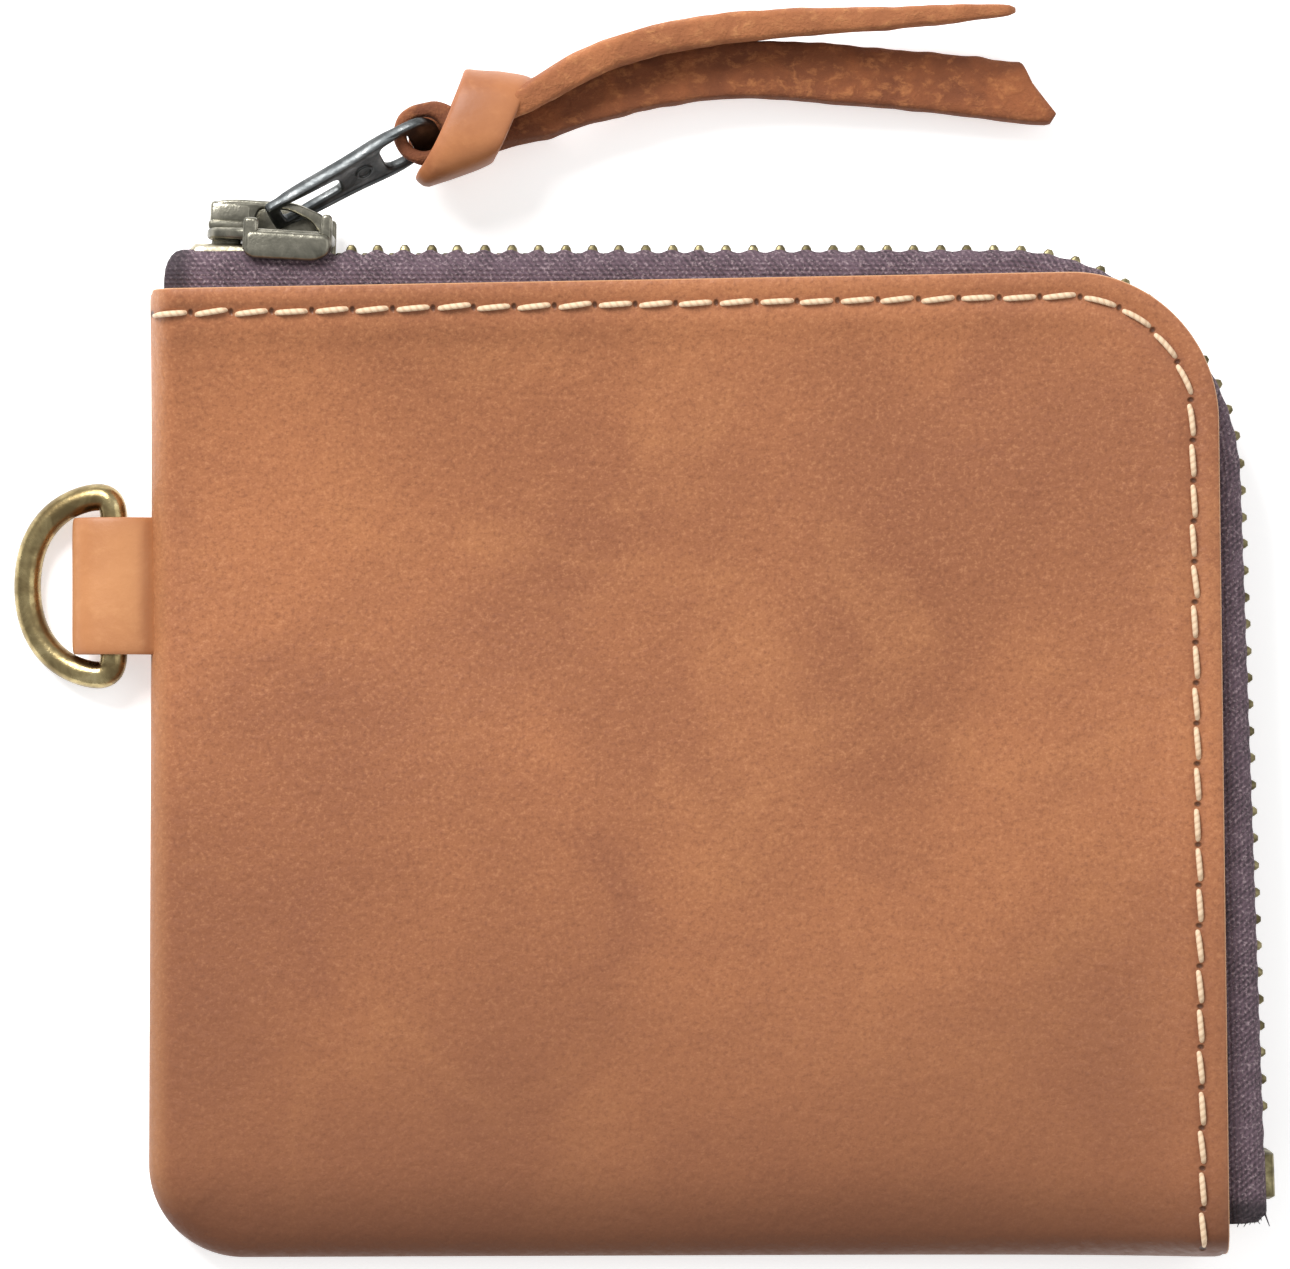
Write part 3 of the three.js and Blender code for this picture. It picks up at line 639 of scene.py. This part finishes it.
def slider_body(look):
    """Two plates joined by the wedge that parts the teeth, with flanges that curl down past the tapes."""
    outer = round_corners(mirrored([(-5.95, 0.9), (-5.6, 2.9), (-2.4, 4.95), (1.5, 5.25), (5.6, 4.7),
                                    (5.95, 3.2)]), 1.2)
    inner = round_corners(mirrored([(-5.9, 0.9), (-5.2, 2.5), (-2.2, 3.45), (5.3, 3.4), (5.9, 2.6)]), 1.0)
    flange = round_corners([(-2.2, 0.1), (-1.4, -0.3), (4.6, -0.3), (5.95, 0.5), (5.85, 2.3),
                            (-2.2, 2.35)], 0.9)
    post = round_corners([(-2.35, 0.3), (-0.95, 0.3), (-0.95, 3.5), (-2.35, 3.5)], 0.45)
    ear = round_corners([(4.7, 0.3), (5.98, 0.5), (5.9, 4.1), (4.9, 4.15)], 0.5)
    parts = [flat_on_slider(outer, 1.45, 2.5, 0.36), flat_on_slider(inner, -2.5, -1.45, 0.34),
             bar((-5.5, -1.8, -0.35), (-2.8, 1.8, 0.35), 6, 0.2)]
    for side in (1, -1):
        parts += [upright_on_slider([flange], 0.55, 0.5, side * 4.88),
                  upright_on_slider([post], 0.5, 0.34, side * 4.72),
                  upright_on_slider([ear], 0.42, 0.3, side * 4.62)]
    piece = mesh_piece("slider_plates", *join([on_slider(part) for part in parts]), sharp=38)
    finish_piece(piece, look, "gunmetal", "slider", "slider_body")


def slider_crown(look):
    """The bridge that holds the tab: a heavy front foot and a thin arch down to the rear, with the pin
    of the tab under it."""
    arch = round_corners([(-5.4, 2.5), (-5.4, 5.1), (-3.6, 5.35), (2.2, 5.3), (5.0, 4.2), (5.75, 2.5),
                          (4.5, 2.5), (3.8, 3.6), (1.6, 4.6), (-1.2, 4.62), (-1.6, 3.6), (-1.7, 2.5)], 0.7)
    wall = round_corners([(-2.2, 2.4), (-2.2, 4.9), (1.6, 4.9), (4.3, 4.0), (5.3, 2.4)], 0.5)
    parts = [upright_on_slider([arch], 0.62, 0.25), bar((-5.75, 2.3, -0.72), (-1.9, 5.1, 0.72), 4.5, 0.35),
             bar((-5.8, 2.3, -2.1), (-1.7, 3.3, 2.1), 5, 0.35), upright_on_slider([wall], 0.26, 0.15, -2.95),
             bar((-5.4, 2.3, -3.2), (-2.4, 3.6, -1.9), 5, 0.3)]
    piece = mesh_piece("slider_bridge", *join([on_slider(part) for part in parts]), sharp=38)
    finish_piece(piece, look, "gunmetal", "slider", "slider_crown")


def on_pull(points):
    """From the pull tab's own frame, x along it and z across it, to the pouch."""
    rolled = turned(points, PULL_ROLL, [1, 0, 0])
    return turned(rolled, PULL_ANGLE, DEPTH) + PIVOT


def pull_tab(look):
    """A long tab, wider to its round end, with a window over the bridge, a slot for the strap, a pressed
    dimple ring and raised rails along both long sides."""
    side = [(-0.65, 0.5), (-0.6, 1.9), (7, 2.25), (13.8, 2.92), (16.2, 2.6), (PULL_LENGTH, 0.9)]
    radii = [0.6, 0.6, 2, 2, 1.3, 1.2]
    outline = round_corners(mirrored(side), radii + radii[::-1])
    window = round_corners([(0.6, 1.2), (0.6, -1.2), (3.4, -1.0), (6.7, -0.88), (6.7, 0.88),
                            (3.4, 1.0)], 0.6)
    slot = round_corners([(11.3, 1.8), (11.3, -1.8), (14.35, -2.1), (14.35, 2.1)], 0.9)
    points, faces = plate([outline, window, slot], 1.0, 0.3)
    parts = [(points[:, [0, 2, 1]] * [1, 1, -1], faces)]
    angle = np.linspace(0, 2 * np.pi, 25)[:-1, None]
    tube = superellipse(8, 0.16, 0.13, 2)
    radius, middle = 0.75 + tube[:, 0], 9.2
    for face in (0.5, -0.5):
        spot = np.broadcast_arrays(middle + radius * np.cos(angle), face + tube[:, 1],
                                   radius * np.sin(angle))
        parts.append((np.stack(spot, -1), ring_faces(24, 8, True)))
    for way in (1, -1):
        rail = [(x, 0, way * w) for x, w in ((0, 1.72), (4, 1.9), (8, 2.08), (12, 2.5), (15, 2.45))]
        centre = spline(rail, 20)
        ahead = unit(np.gradient(centre, axis=0))
        across = unit(np.cross(ahead, [0, 1, 0]))
        size = np.sqrt(np.clip(1 - np.linspace(-1, 1, 20) ** 6, 0.02, 1))[:, None, None]
        section = superellipse(10, 0.3, 0.66, 2.5)
        rings = centre[:, None] + size * (across[:, None] * section[:, :1] + [0, 1.0, 0] * section[:, 1:])
        parts.append((rings, ring_faces(20, 10, False)))
    shell, sides = join(parts)
    piece = mesh_piece("metal_tab", on_pull(shell), sides, sharp=38)
    finish_piece(piece, look, "gunmetal", "pull", "pull_tab")


def heading_round(path):
    """The way ahead at each point of a closed path, from its two neighbours."""
    return unit(np.roll(path, -1, 0) - np.roll(path, 1, 0))


def d_ring(look):
    """A round wire round a straight bar and a squared bow: x = -bow * sin^(2/n), y = half * cos^(2/n),
    its corners eased by averaging neighbours; it leans down about its bar."""
    angle = np.linspace(0, np.pi, 90)
    power = 2 / RING_SQUARE
    bow = np.stack([-RING_BOW * np.abs(np.sin(angle)) ** power,
                    RING_HALF * np.sign(np.cos(angle)) * np.abs(np.cos(angle)) ** power], -1)
    straight = np.stack([np.zeros(30), np.linspace(-RING_HALF, RING_HALF, 30)], -1)[1:-1]
    path = np.vstack([bow, straight])
    path = even(np.vstack([path, path[:1]]), 145)[:-1]
    for _ in range(36):
        path = (np.roll(path, 1, 0) + 2 * path + np.roll(path, -1, 0)) / 4
    centre = np.column_stack([path, np.zeros(len(path))])
    side = np.cross(heading_round(centre), DEPTH)
    section = superellipse(20, WIRE / 2, WIRE / 2, 2)
    rings = centre[:, None] + side[:, None] * section[:, :1] + DEPTH * section[:, 1:]
    rings = turned(rings, RING_TILT, [0, 1, 0]) + RING_BAR
    finish_piece(loft("wire_ring", rings, closed=True), look, "antique_brass", "ring", "d_ring")


# ---- leather strips

def strip_marks(length, across, edge):
    """The numbers that the leather's pattern follows on a strip: its length, and its edges by a power
    of the place across it."""
    return {"along": length, "across": across, "edge": np.abs(across) ** edge}


def strap_piece(look, name, rings, marks, *nodes, sharp=50, closed=False):
    """A skin of strap leather that rides with the strap."""
    finish_piece(loft(name, rings, closed, marks, sharp), look, "strap_leather", "strap", *nodes)


def ribbon(path, widths, thick, turns, power, around, rough, seed):
    """A strip along a path. Its section is a squared ellipse whose width lies level across the path,
    turned about it by turns; rough waves the edges. Returns points and marks."""
    count = len(path)
    ahead = unit(np.gradient(path, axis=0))
    across = unit(np.cross(ahead, DEPTH))
    normal = np.cross(across, ahead)
    angle = np.radians(np.broadcast_to(turns, count))[:, None]
    width_way = across * np.cos(angle) + normal * np.sin(angle)
    thick_way = normal * np.cos(angle) - across * np.sin(angle)
    section = superellipse(around, 1, 1, power)
    half = (np.broadcast_to(widths, count) / 2)[:, None, None]
    deep = (np.broadcast_to(thick, count) / 2)[:, None, None]
    length = lengths(path)
    close = np.clip(np.minimum(length, length[-1] - length) / 0.7, 0, 1)
    close = (1 - (1 - np.sqrt(1 - (1 - close) ** 2)) * 0.35)[:, None, None]
    rings = (path[:, None] + width_way[:, None] * half * section[:, :1] * close
             + thick_way[:, None] * deep * section[:, 1:] * close)
    rings = rings + rough * ripple(rings, 4.5, seed)[..., None] * (
        width_way[:, None] * section[:, :1] + thick_way[:, None] * section[:, 1:] * 0.8)
    return rings, strip_marks(length[:, None], section[:, 0], 6)


def ring_tab(look):
    """A strip folded round the ring's bar, its two leaves side by side where the seam takes them."""
    half = [(4.4, 0.7), (2.0, 0.72), (0.6, 0.9), (-0.9, 1.75), (-2.4, 2.1), (-3.9, 2.1), (-5.4, 1.75),
            (-6.35, 0.95)]
    section = half + [(-6.58, 0)] + [(x, -z) for x, z in half[::-1]]
    path = spline([(x, RING_BAR[1], PARTING + z) for x, z in section], 64)
    normal_way = np.cross(unit(np.gradient(path, axis=0)), [0, 1.0, 0])
    profile = superellipse(28, 1, 1, 7)
    rings = (path[:, None] + [0, TAB_WIDTH / 2, 0] * profile[:, :1]
             + normal_way[:, None] * profile[:, 1:] * TAB_THICK / 2)
    rings = rings + 0.06 * ripple(rings, 7, 22, 2)[..., None] * [0.5, 0.6, 1]
    marks = strip_marks(lengths(path)[:, None], profile[:, 0], 6)
    # painted shade: the edge mark is raised where the tab goes into the seam, so the darker edge tone lies
    # there
    marks["edge"] = np.maximum(marks["edge"], 1.2 * np.exp(-((rings[..., 0] - 0.1) / 0.75) ** 2))
    piece = loft("folded_tab", rings, marks=marks, sharp=50)
    finish_piece(piece, look, "tab_leather", "pouch", "d_ring_tab")


UPPER_TAIL = [(31.2, 107.4, 7.0), (33, 108.2, 7.1), (36.6, 109.4, 7), (40.7, 111.8, 6.8), (47, 114.1, 6.5),
              (53.3, 115.3, 6.2), (59.5, 115.9, 6), (70, 116.45, 6), (79.9, 117.0, 6)]
LOWER_TAIL = [(31.2, 105.7, 5), (33, 106.4, 4.9), (36.5, 107.3, 4.8), (41, 108.85, 4.6), (46.3, 110.35, 4.3),
              (55.3, 111.7, 3.9), (67.8, 111.1, 3.2), (83.9, 109.5, 2.6)]
BAR_CENTRE = PIVOT + turned(np.array([END_BAR, 0, 0]), PULL_ANGLE, DEPTH)


def strap_tail(name, points, turns, widths, thick, slant, seed, look):
    """One end of the strap: a rough strip that starts in the collar and is cut on a slant."""
    count = 150
    path = spline(points, count)
    share = np.linspace(0, 1, count)
    turn, width, deep = [np.interp(share, *np.array(table).T) for table in (turns, widths, thick)]
    rings, marks = ribbon(path, width, deep, turn, power=5, around=32, rough=0.09, seed=seed)
    reach = np.clip((share - 0.75) / 0.25, 0, 1)[:, None, None]
    cut = (marks["across"] * slant)[..., None] * reach ** 2
    rings = rings + unit(np.gradient(path, axis=0))[:, None] * cut
    strap_piece(look, name, rings, marks, sharp=55)


def strap_loop(look):
    """The strap's bight through the slot: a closed band round the end of the tab, drawn out to the
    collar by the cosine of the angle."""
    angle = np.linspace(0, 2 * np.pi, 73)[:-1, None]
    towards, half_thick, half_wide = math.radians(12), 0.62, 1.35
    lobe = np.clip(np.cos(angle - towards), 0, 1) ** 1.5
    radius = 2.24 + 0.55 * lobe
    path = BAR_CENTRE + radius * np.hstack([np.cos(angle), np.sin(angle), 0 * angle])
    side = np.cross(heading_round(path), DEPTH)[:, None]
    section = superellipse(20, 1, 1, 3.5)
    rings = (path[:, None] + (1 + 0.7 * lobe)[:, None] * side * section[:, :1] * half_thick
             + (1 + 0.35 * lobe)[:, None] * DEPTH * section[:, 1:] * half_wide)
    rings = rings + 0.07 * ripple(rings, 3, 31, 2)[..., None] * side
    strap_piece(look, "strap_bight", rings, strip_marks(angle * 3, section[:, 1], 6), closed=True)


COLLAR = np.array([30.9, 106.3, 6.0])
COLLAR_LONG, COLLAR_WAY = unit(np.array([0.37, 0.93, 0])), unit(np.array([0.93, -0.37, 0]))
COLLAR_REACH, COLLAR_DEEP, BAND_HALF, BAND_THICK = 4.7, 3.75, 2.85, 0.62


def collar(look):
    """The turn of the strap that holds both tails: a band round a squared ellipse in the plane of its
    long way and the depth, its width along the tails, pinched a little where it passes behind."""
    count = 96
    angle = np.linspace(0, 2 * np.pi, count, endpoint=False)
    oval = superellipse(count, 1, 1, 2.6)
    path = COLLAR + oval[:, :1] * COLLAR_LONG * COLLAR_REACH + oval[:, 1:] * DEPTH * COLLAR_DEEP
    lower = np.clip(-np.cos(angle), 0, 1) ** 2
    path = path + (0.3 * np.sin(angle + 0.6) - 0.2 * lower)[:, None] * COLLAR_WAY
    out = unit(np.cross(heading_round(path), COLLAR_WAY))
    section = superellipse(32, 1, 1, 5)
    across, thick = section[:, 0], section[:, 1] * BAND_THICK + 0.28 * (1 - section[:, 0] ** 2)
    sign = np.sign(np.einsum("ij,ij->", out, path - COLLAR))
    width = BAND_HALF * (1.06 + 0.04 * np.cos(angle * 2))
    rings = (path[:, None] + (width[:, None] * across)[..., None] * COLLAR_WAY
             + sign * out[:, None] * thick[:, None])
    lean = np.where(oval[:, 0] > 0, 0.9, -2.5) * oval[:, 0]
    rings = rings + (lean[:, None] * np.maximum(across, -0.6))[..., None] * COLLAR_LONG
    rings = rings + 0.1 * ripple(rings, 8, 41, 2)[..., None] * out[:, None]
    marks = strip_marks(angle[:, None] * 5, across, 7)
    strap_piece(look, "strap_collar", rings, marks, "pull_strap", closed=True)


BACK_PLY = [(31.6, 106.4, 2.7), (29, 106.0, 2.4), (26.5, 105.5, 2.3), (24.5, 105.0, 2.45)]


def strap_back_ply(look):
    """The part of the bight that lies behind the end of the tab: a short tongue that narrows to a round
    end by the square root of the distance from it."""
    path = spline(BACK_PLY, 40)
    left = np.clip(np.linspace(1, 0, 40) / 0.36, 0, 1)
    width = 4.9 * (0.12 + 0.88 * np.sqrt(1 - (1 - left) ** 2))
    rings, marks = ribbon(path, width, 1.0, 0, power=4, around=24, rough=0.05, seed=61)
    strap_piece(look, "strap_back_ply", rings, marks)


def strap_core(look):
    """The strap's turns inside the collar: a stuffed plug whose ends bulge out of the band a little."""
    share = np.linspace(-1, 1, 15)
    size = np.sqrt(np.clip(1 - share ** 6, 0.0, 1)) * 0.96 + 0.04
    section = superellipse(28, COLLAR_REACH - 0.95, COLLAR_DEEP - 0.7, 2.4)
    rings = (COLLAR + share[:, None, None] * COLLAR_WAY * (BAND_HALF - 0.3) + size[:, None, None] * (
        section[:, :1] * COLLAR_LONG + section[:, 1:] * DEPTH))
    rings = rings + 0.15 * ripple(rings, 3, 44, 2)[..., None] * COLLAR_WAY
    strap_piece(look, "strap_core", rings, {"across": 0, "edge": 0.6, "along": share[:, None] * 3}, sharp=60)


# ---- materials

def pouch_leather():
    """Waxed pull-up leather: cloudy lighter and redder patches, fine pebble grain, paler cut edges, and
    dark needle holes where the share of the stitch pitch and the offset from its line are both small;
    the holes' dark is painted shade. Painted shade also darkens the leather towards the bottom and in
    the stitch groove, where the leather's own darkening from the pinch adds to it, and a painted
    highlight lightens the roll of the left seam."""
    look = Look("tan_leather")
    cloud = look.noise(24, warp=0.5)
    patch = look.noise(62, 4, 0.55, shift=(3, 1, 0), warp=0.8)
    fine, speckle = look.noise(900, 3, 0.6), look.noise(2600, 2, 0.7)
    # the Y place in the frame, for the painted shade that darkens the leather towards the bottom
    painted_shade_y = look.node("SeparateXYZ", inputs={0: look.place()}, output=1)
    low, across = look.mark("low"), look.mark("across")
    # painted highlight on the roll of the left seam, which faces the light; it fades out near the bottom
    painted_seam_highlight = look.ramp(look.mark("seam"), 2.4, 0.6) * look.ramp(low, 3, 9)
    share = look.math("FRACT", (look.mark("along") - (STITCH_START - STITCH_PITCH / 2)) / STITCH_PITCH)
    gap = (0.5 - look.math("ABSOLUTE", share - 0.5)) * STITCH_PITCH
    hole = look.ramp((gap * gap * 1.3 + across * across * 0.8) ** 0.5, 0.36, 0.1)
    groove = look.ramp(look.math("ABSOLUTE", across), 0.85, 0.3)
    colour = look.blend(
        (145, 91, 61),
        (look.ramp(cloud, 0.34, 0.68), (170, 110, 73)),
        (look.ramp(patch, 0.5, 0.75) * 0.4, (186, 126, 82)),
        (look.ramp(patch, 0.45, 0.25) * 0.35, (132, 80, 58)),
        (look.ramp(fine, 0.4, 0.7) * 0.2, (136, 80, 52)),
        (look.ramp(speckle, 0.5, 0.72) * 0.36, (106, 62, 42)),
        (look.ramp(speckle, 0.48, 0.28) * 0.24, (212, 152, 108)),
        # painted shade: darker towards the bottom, as the light falls off
        (look.ramp(painted_shade_y + cloud * 0.03, 0.006, -0.04) * 0.6, (124, 78, 54)),
        # painted shade over the lowest 10 mm, darkest at the bottom edge, where the leather rolls down to
        # the seam
        (look.ramp(low, 10, 1) * 0.72, (88, 52, 34)),
        (look.ramp(look.mark("raw"), 0.16, 0.03) * 0.75, (206, 158, 118)),
        # painted highlight on the left seam's roll
        (painted_seam_highlight * 0.22, (198, 146, 98)),
        (look.mark("inside") * 0.9, (122, 84, 60)),
        # painted shade in the groove along the stitch line, with the leather's own darkening where the
        # stitches pinch it
        (groove * 0.25, (120, 74, 52)),
        # needle holes, in colour and bump only: their dark is painted shade inside the holes
        (hole * 0.85, (58, 34, 24)))
    pebble = look.node("TexVoronoi", {"feature": "SMOOTH_F1"}, {"Vector": look.place(), "Scale": 1150})
    ridges = look.noise(260, 4, 0.62, warp=0.3)
    height = pebble * 0.8 + fine * 0.6 + speckle * 0.5 + ridges * 0.6 - hole * 2.5
    rough = look.ramp(cloud, 0.3, 0.7, 0.52, 0.42) + look.ramp(fine, 0.3, 0.7, -0.04, 0.07)
    return look.set(Base_Color=colour, Roughness=rough, Normal=look.raised(height, 0.00011, 0.75),
                    Specular_IOR_Level=0.28)


def thread():
    """Waxed cord: plies that wind round, as a sine of the length and the place round it."""
    look = Look("cream_thread")
    ply = look.math("SINE", (look.mark("along") / 0.62 + look.mark("around")) * 2 * math.pi)
    tone = look.noise(700, 2)
    colour = look.blend((206, 174, 142), (look.ramp(ply, -1, 0.2), (228, 200, 168)),
                        (tone * 0.3, (214, 186, 150)))
    height = ply * 0.5 + tone * 0.4
    return look.set(Base_Color=colour, Roughness=0.62, Normal=look.raised(height, 0.00004, 0.4))


def hidden_thread():
    """The seam's thread: two creams in fine noise."""
    look = Look("seam_thread")
    colour = look.blend((188, 160, 128), (look.noise(900, 2), (240, 222, 194)))
    return look.set(Base_Color=colour, Roughness=0.65)


def tape_cloth():
    """Twill: slanting ribs from the share of the sum of length and offset, with pale specks of yarn, the
    dark of the sealed last end, and painted shade where the first end is folded under."""
    look = Look("zip_tape")
    along, across = look.mark("along"), look.mark("across")
    rib, weft = [look.math("ABSOLUTE", look.math("FRACT", at) - 0.5) * 2
                 for at in ((along + across * 0.8) / 0.62, across / 0.42)]
    speck, blot = look.noise(3400, 2, 0.6), look.noise(420, 3, 0.6)
    # the sealed last end is dark cloth; the folded first end gets painted shade in its fold
    ends = look.ramp(along, ZIP_LENGTH - 3.2, ZIP_LENGTH - 1.6) * 0.8 + look.ramp(along, 3.4, 1.2) * 0.7
    colour = look.blend((96, 76, 85), (look.ramp(rib * 0.6 + weft * 0.4, 0.1, 0.9), (58, 46, 53)),
                        (look.ramp(blot, 0.35, 0.7) * 0.5, (108, 87, 98)),
                        (look.ramp(speck, 0.5, 0.72) * 0.55, (172, 152, 156)), (ends, (30, 24, 28)))
    height = rib * 0.5 + weft * 0.5 + speck * 0.9
    return look.set(Base_Color=colour, Roughness=0.86, Normal=look.raised(height, 0.00016, 0.8))


def metal(name, base, dark, shine, roughness, scale, mottled):
    """Cast or drawn metal with darker patina in patches and fine surface grain."""
    look = Look(name)
    patch = look.noise(scale, 4, 0.6, warp=0.4)
    grit = look.noise(scale * 5, 3, 0.6)
    colour = look.blend(dark, (look.ramp(patch, 0.35, 0.7), base),
                        (look.ramp(patch, 0.55, 0.8) * mottled, shine))
    rough = look.ramp(patch, 0.3, 0.7, roughness + 0.12, roughness - 0.05)
    return look.set(Base_Color=colour, Roughness=rough, Metallic=1.0,
                    Normal=look.raised(grit + patch * 1.5, 0.00005, 0.6))


def strip_leather(name, dark, middle, pale, edge, scale, roughness, nap, depth):
    """Strap leather: blotches, fibres, a nap of fine noise, and another tone on the cut edges, which on the
    ring's tab is also painted shade where the tab goes into the seam.
    """
    look = Look(name)
    fibre = look.noise(scale, 4, 0.7, stretch=(0.75, 1, 1), warp=0.3)
    blot = look.noise(scale / 5, 3, 0.6, shift=(1, 2, 3), warp=0.7)
    fuzz = look.noise(scale * 4, 3, 0.7)
    colour = look.blend(dark, (look.ramp(blot, 0.3, 0.7), middle),
                        (look.ramp(fibre, 0.48, 0.72) * nap, pale),
                        (look.ramp(fuzz, 0.6, 0.4) * 0.3 * nap, dark), (look.mark("edge") * 0.55, edge))
    height = fibre * 1.6 * nap + fuzz * 0.7 + blot * 2 * nap
    return look.set(Base_Color=colour, Roughness=roughness, Normal=look.raised(height, depth, 0.8))


def floor_paper():
    """Plain white paper, which glows a little so that it stays white in the soft light."""
    return Look("floor_paper").set(Base_Color=srgb(252, 252, 252), Roughness=0.9,
                                   Emission_Color=(1, 1, 1, 1), Emission_Strength=0.45)


# ---- the scene

def build_pouch():
    """The leather, its stitches, and the zip without its slider."""
    leather, cord, cloth = pouch_leather(), thread(), tape_cloth()
    leather_panel("front_leather", True, 0.55, leather, "front_panel")
    leather_panel("back_leather", False, 0.9, leather, "back_panel")
    stitches("front_stitches", True, cord, "front_edge_thread")
    stitches("back_stitches", False, cord, "back_edge_thread")
    zip_tape("front_tape_cloth", True, cloth, "zip_tape_front")
    zip_tape("back_tape_cloth", False, cloth, "zip_tape_back")
    tape_fringe(cloth)
    brass = metal("tooth_brass", (146, 136, 102), (92, 84, 60), (196, 186, 148), 0.4, 700, 0.5)
    tooth_row("front_teeth", True, brass, "tooth_row_front")
    tooth_row("back_teeth", False, brass, "tooth_row_back")
    bottom_stop(brass)
    nickel = metal("pale_metal", (188, 180, 158), (146, 138, 118), (214, 206, 184), 0.36, 500, 0.5)
    top_stops(True, nickel, "top_stop_front")
    top_stops(False, nickel, "top_stop_back")


def build_metal():
    """The slider, its tab and the D-ring."""
    dark = metal("gunmetal", (152, 148, 134), (100, 98, 88), (208, 202, 186), 0.3, 420, 0.4)
    tab = metal("tab_gunmetal", (104, 106, 106), (72, 75, 76), (152, 154, 152), 0.36, 380, 0.4)
    slider_body(dark)
    slider_crown(dark)
    pull_tab(tab)
    d_ring(metal("antique_brass", (186, 168, 122), (118, 102, 70), (226, 212, 168), 0.26, 300, 0.5))


def build_strips():
    """The ring's tab and the strap on the metal tab. A table gives a tail's turn, width or thickness at
    shares of its length."""
    tan = strip_leather("tab_leather", (176, 116, 70), (192, 132, 84), (206, 148, 98),
                        (150, 92, 56), 420, 0.5, 0.35, 0.00006)
    ring_tab(tan)
    suede = strip_leather("suede", (112, 60, 32), (146, 84, 46), (188, 122, 72),
                          (104, 58, 34), 900, 0.85, 0.6, 0.00026)
    golden = strip_leather("golden_suede", (138, 80, 46), (176, 110, 66), (208, 146, 92),
                           (150, 92, 56), 900, 0.85, 0.9, 0.00022)
    smooth = strip_leather("smooth_strap", (144, 86, 50), (175, 113, 69), (192, 131, 84),
                           (162, 96, 56), 380, 0.5, 0.3, 0.00005)
    strap_tail("upper_tail", UPPER_TAIL, [(0, 60), (0.12, 84), (1, 88)], [(0, 5.6), (0.9, 5.8), (1, 5.2)],
               [(0, 2.4), (0.2, 2.9), (0.5, 2.95), (0.72, 2.35), (0.92, 1.7), (1, 1.05)], 1.5, 51, golden)
    strap_tail("lower_tail", LOWER_TAIL, [(0, 30), (0.15, 12), (0.5, 10), (1, 10)],
               [(0, 4.4), (0.25, 4.95), (0.6, 5.6), (1, 5.7)], [(0, 2.1), (1, 1.9)], 1.7, 52, suede)
    strap_loop(suede)
    collar(smooth)
    strap_back_ply(suede)
    strap_core(suede)


def clothe_nodes():
    """The seam's thread lies between the panels, so it keeps its own solid with a thread's finish."""
    node = frame["nodes"]["closing_seam_thread"]
    node.data.materials.clear()
    node.data.materials.append(hidden_thread().material)


def build_stage():
    """A pale floor, a large soft light from the upper left, a weaker one opposite, and an even sky."""
    flat = np.array([(-1.5, -1.5, 0), (1.5, -1.5, 0), (1.5, 1.5, 0), (-1.5, 1.5, 0)])
    mesh = bpy.data.meshes.new("floor")
    mesh.from_pydata((flat - [0, 0, 0.0002]).tolist(), [], [[0, 1, 2, 3]])
    floor = bpy.data.objects.new("floor", mesh)
    bpy.context.scene.collection.objects.link(floor)
    mesh.materials.append(floor_paper().material)
    lamps = ("key", (-0.22, 0.34, 0.36), 0.3, 3.4), ("fill", (0.5, 0.1, 0.7), 0.7, 1.2)
    for name, spot, size, power in lamps:
        lamp = bpy.data.lights.new(name, "AREA")
        lamp.shape, lamp.size, lamp.energy = "DISK", size, power
        light = bpy.data.objects.new(name, lamp)
        light.location = spot
        x, y, z = unit(np.array(spot))
        light.rotation_euler = math.acos(z), 0, math.atan2(x, -y)
        bpy.context.scene.collection.objects.link(light)
    world = bpy.data.worlds.new("sky")
    bpy.context.scene.world = world
    world.use_nodes = True
    sky = world.node_tree.nodes["Background"]
    sky.inputs["Color"].default_value, sky.inputs["Strength"].default_value = (1, 1, 1, 1), 0.56


def build_camera():
    """Straight above the pouch, the frame's width set at the height of the leather."""
    width, level, centre = 120.56, 8.0, (46.73, 58.64)
    lens, sensor = 200.0, 36.0
    camera = bpy.data.objects.new("camera", bpy.data.cameras.new("camera"))
    camera.data.lens, camera.data.sensor_width = lens, sensor
    away = width * lens / sensor
    camera.location = ORIGIN + np.array([*centre, level + away]) / 1000
    camera.data.clip_start, camera.data.clip_end = 0.01, 10
    bpy.context.scene.collection.objects.link(camera)
    bpy.context.scene.camera = camera
    bpy.context.scene.view_settings.view_transform = "Standard"


build_pouch()
build_metal()
build_strips()
clothe_nodes()
build_stage()
build_camera()
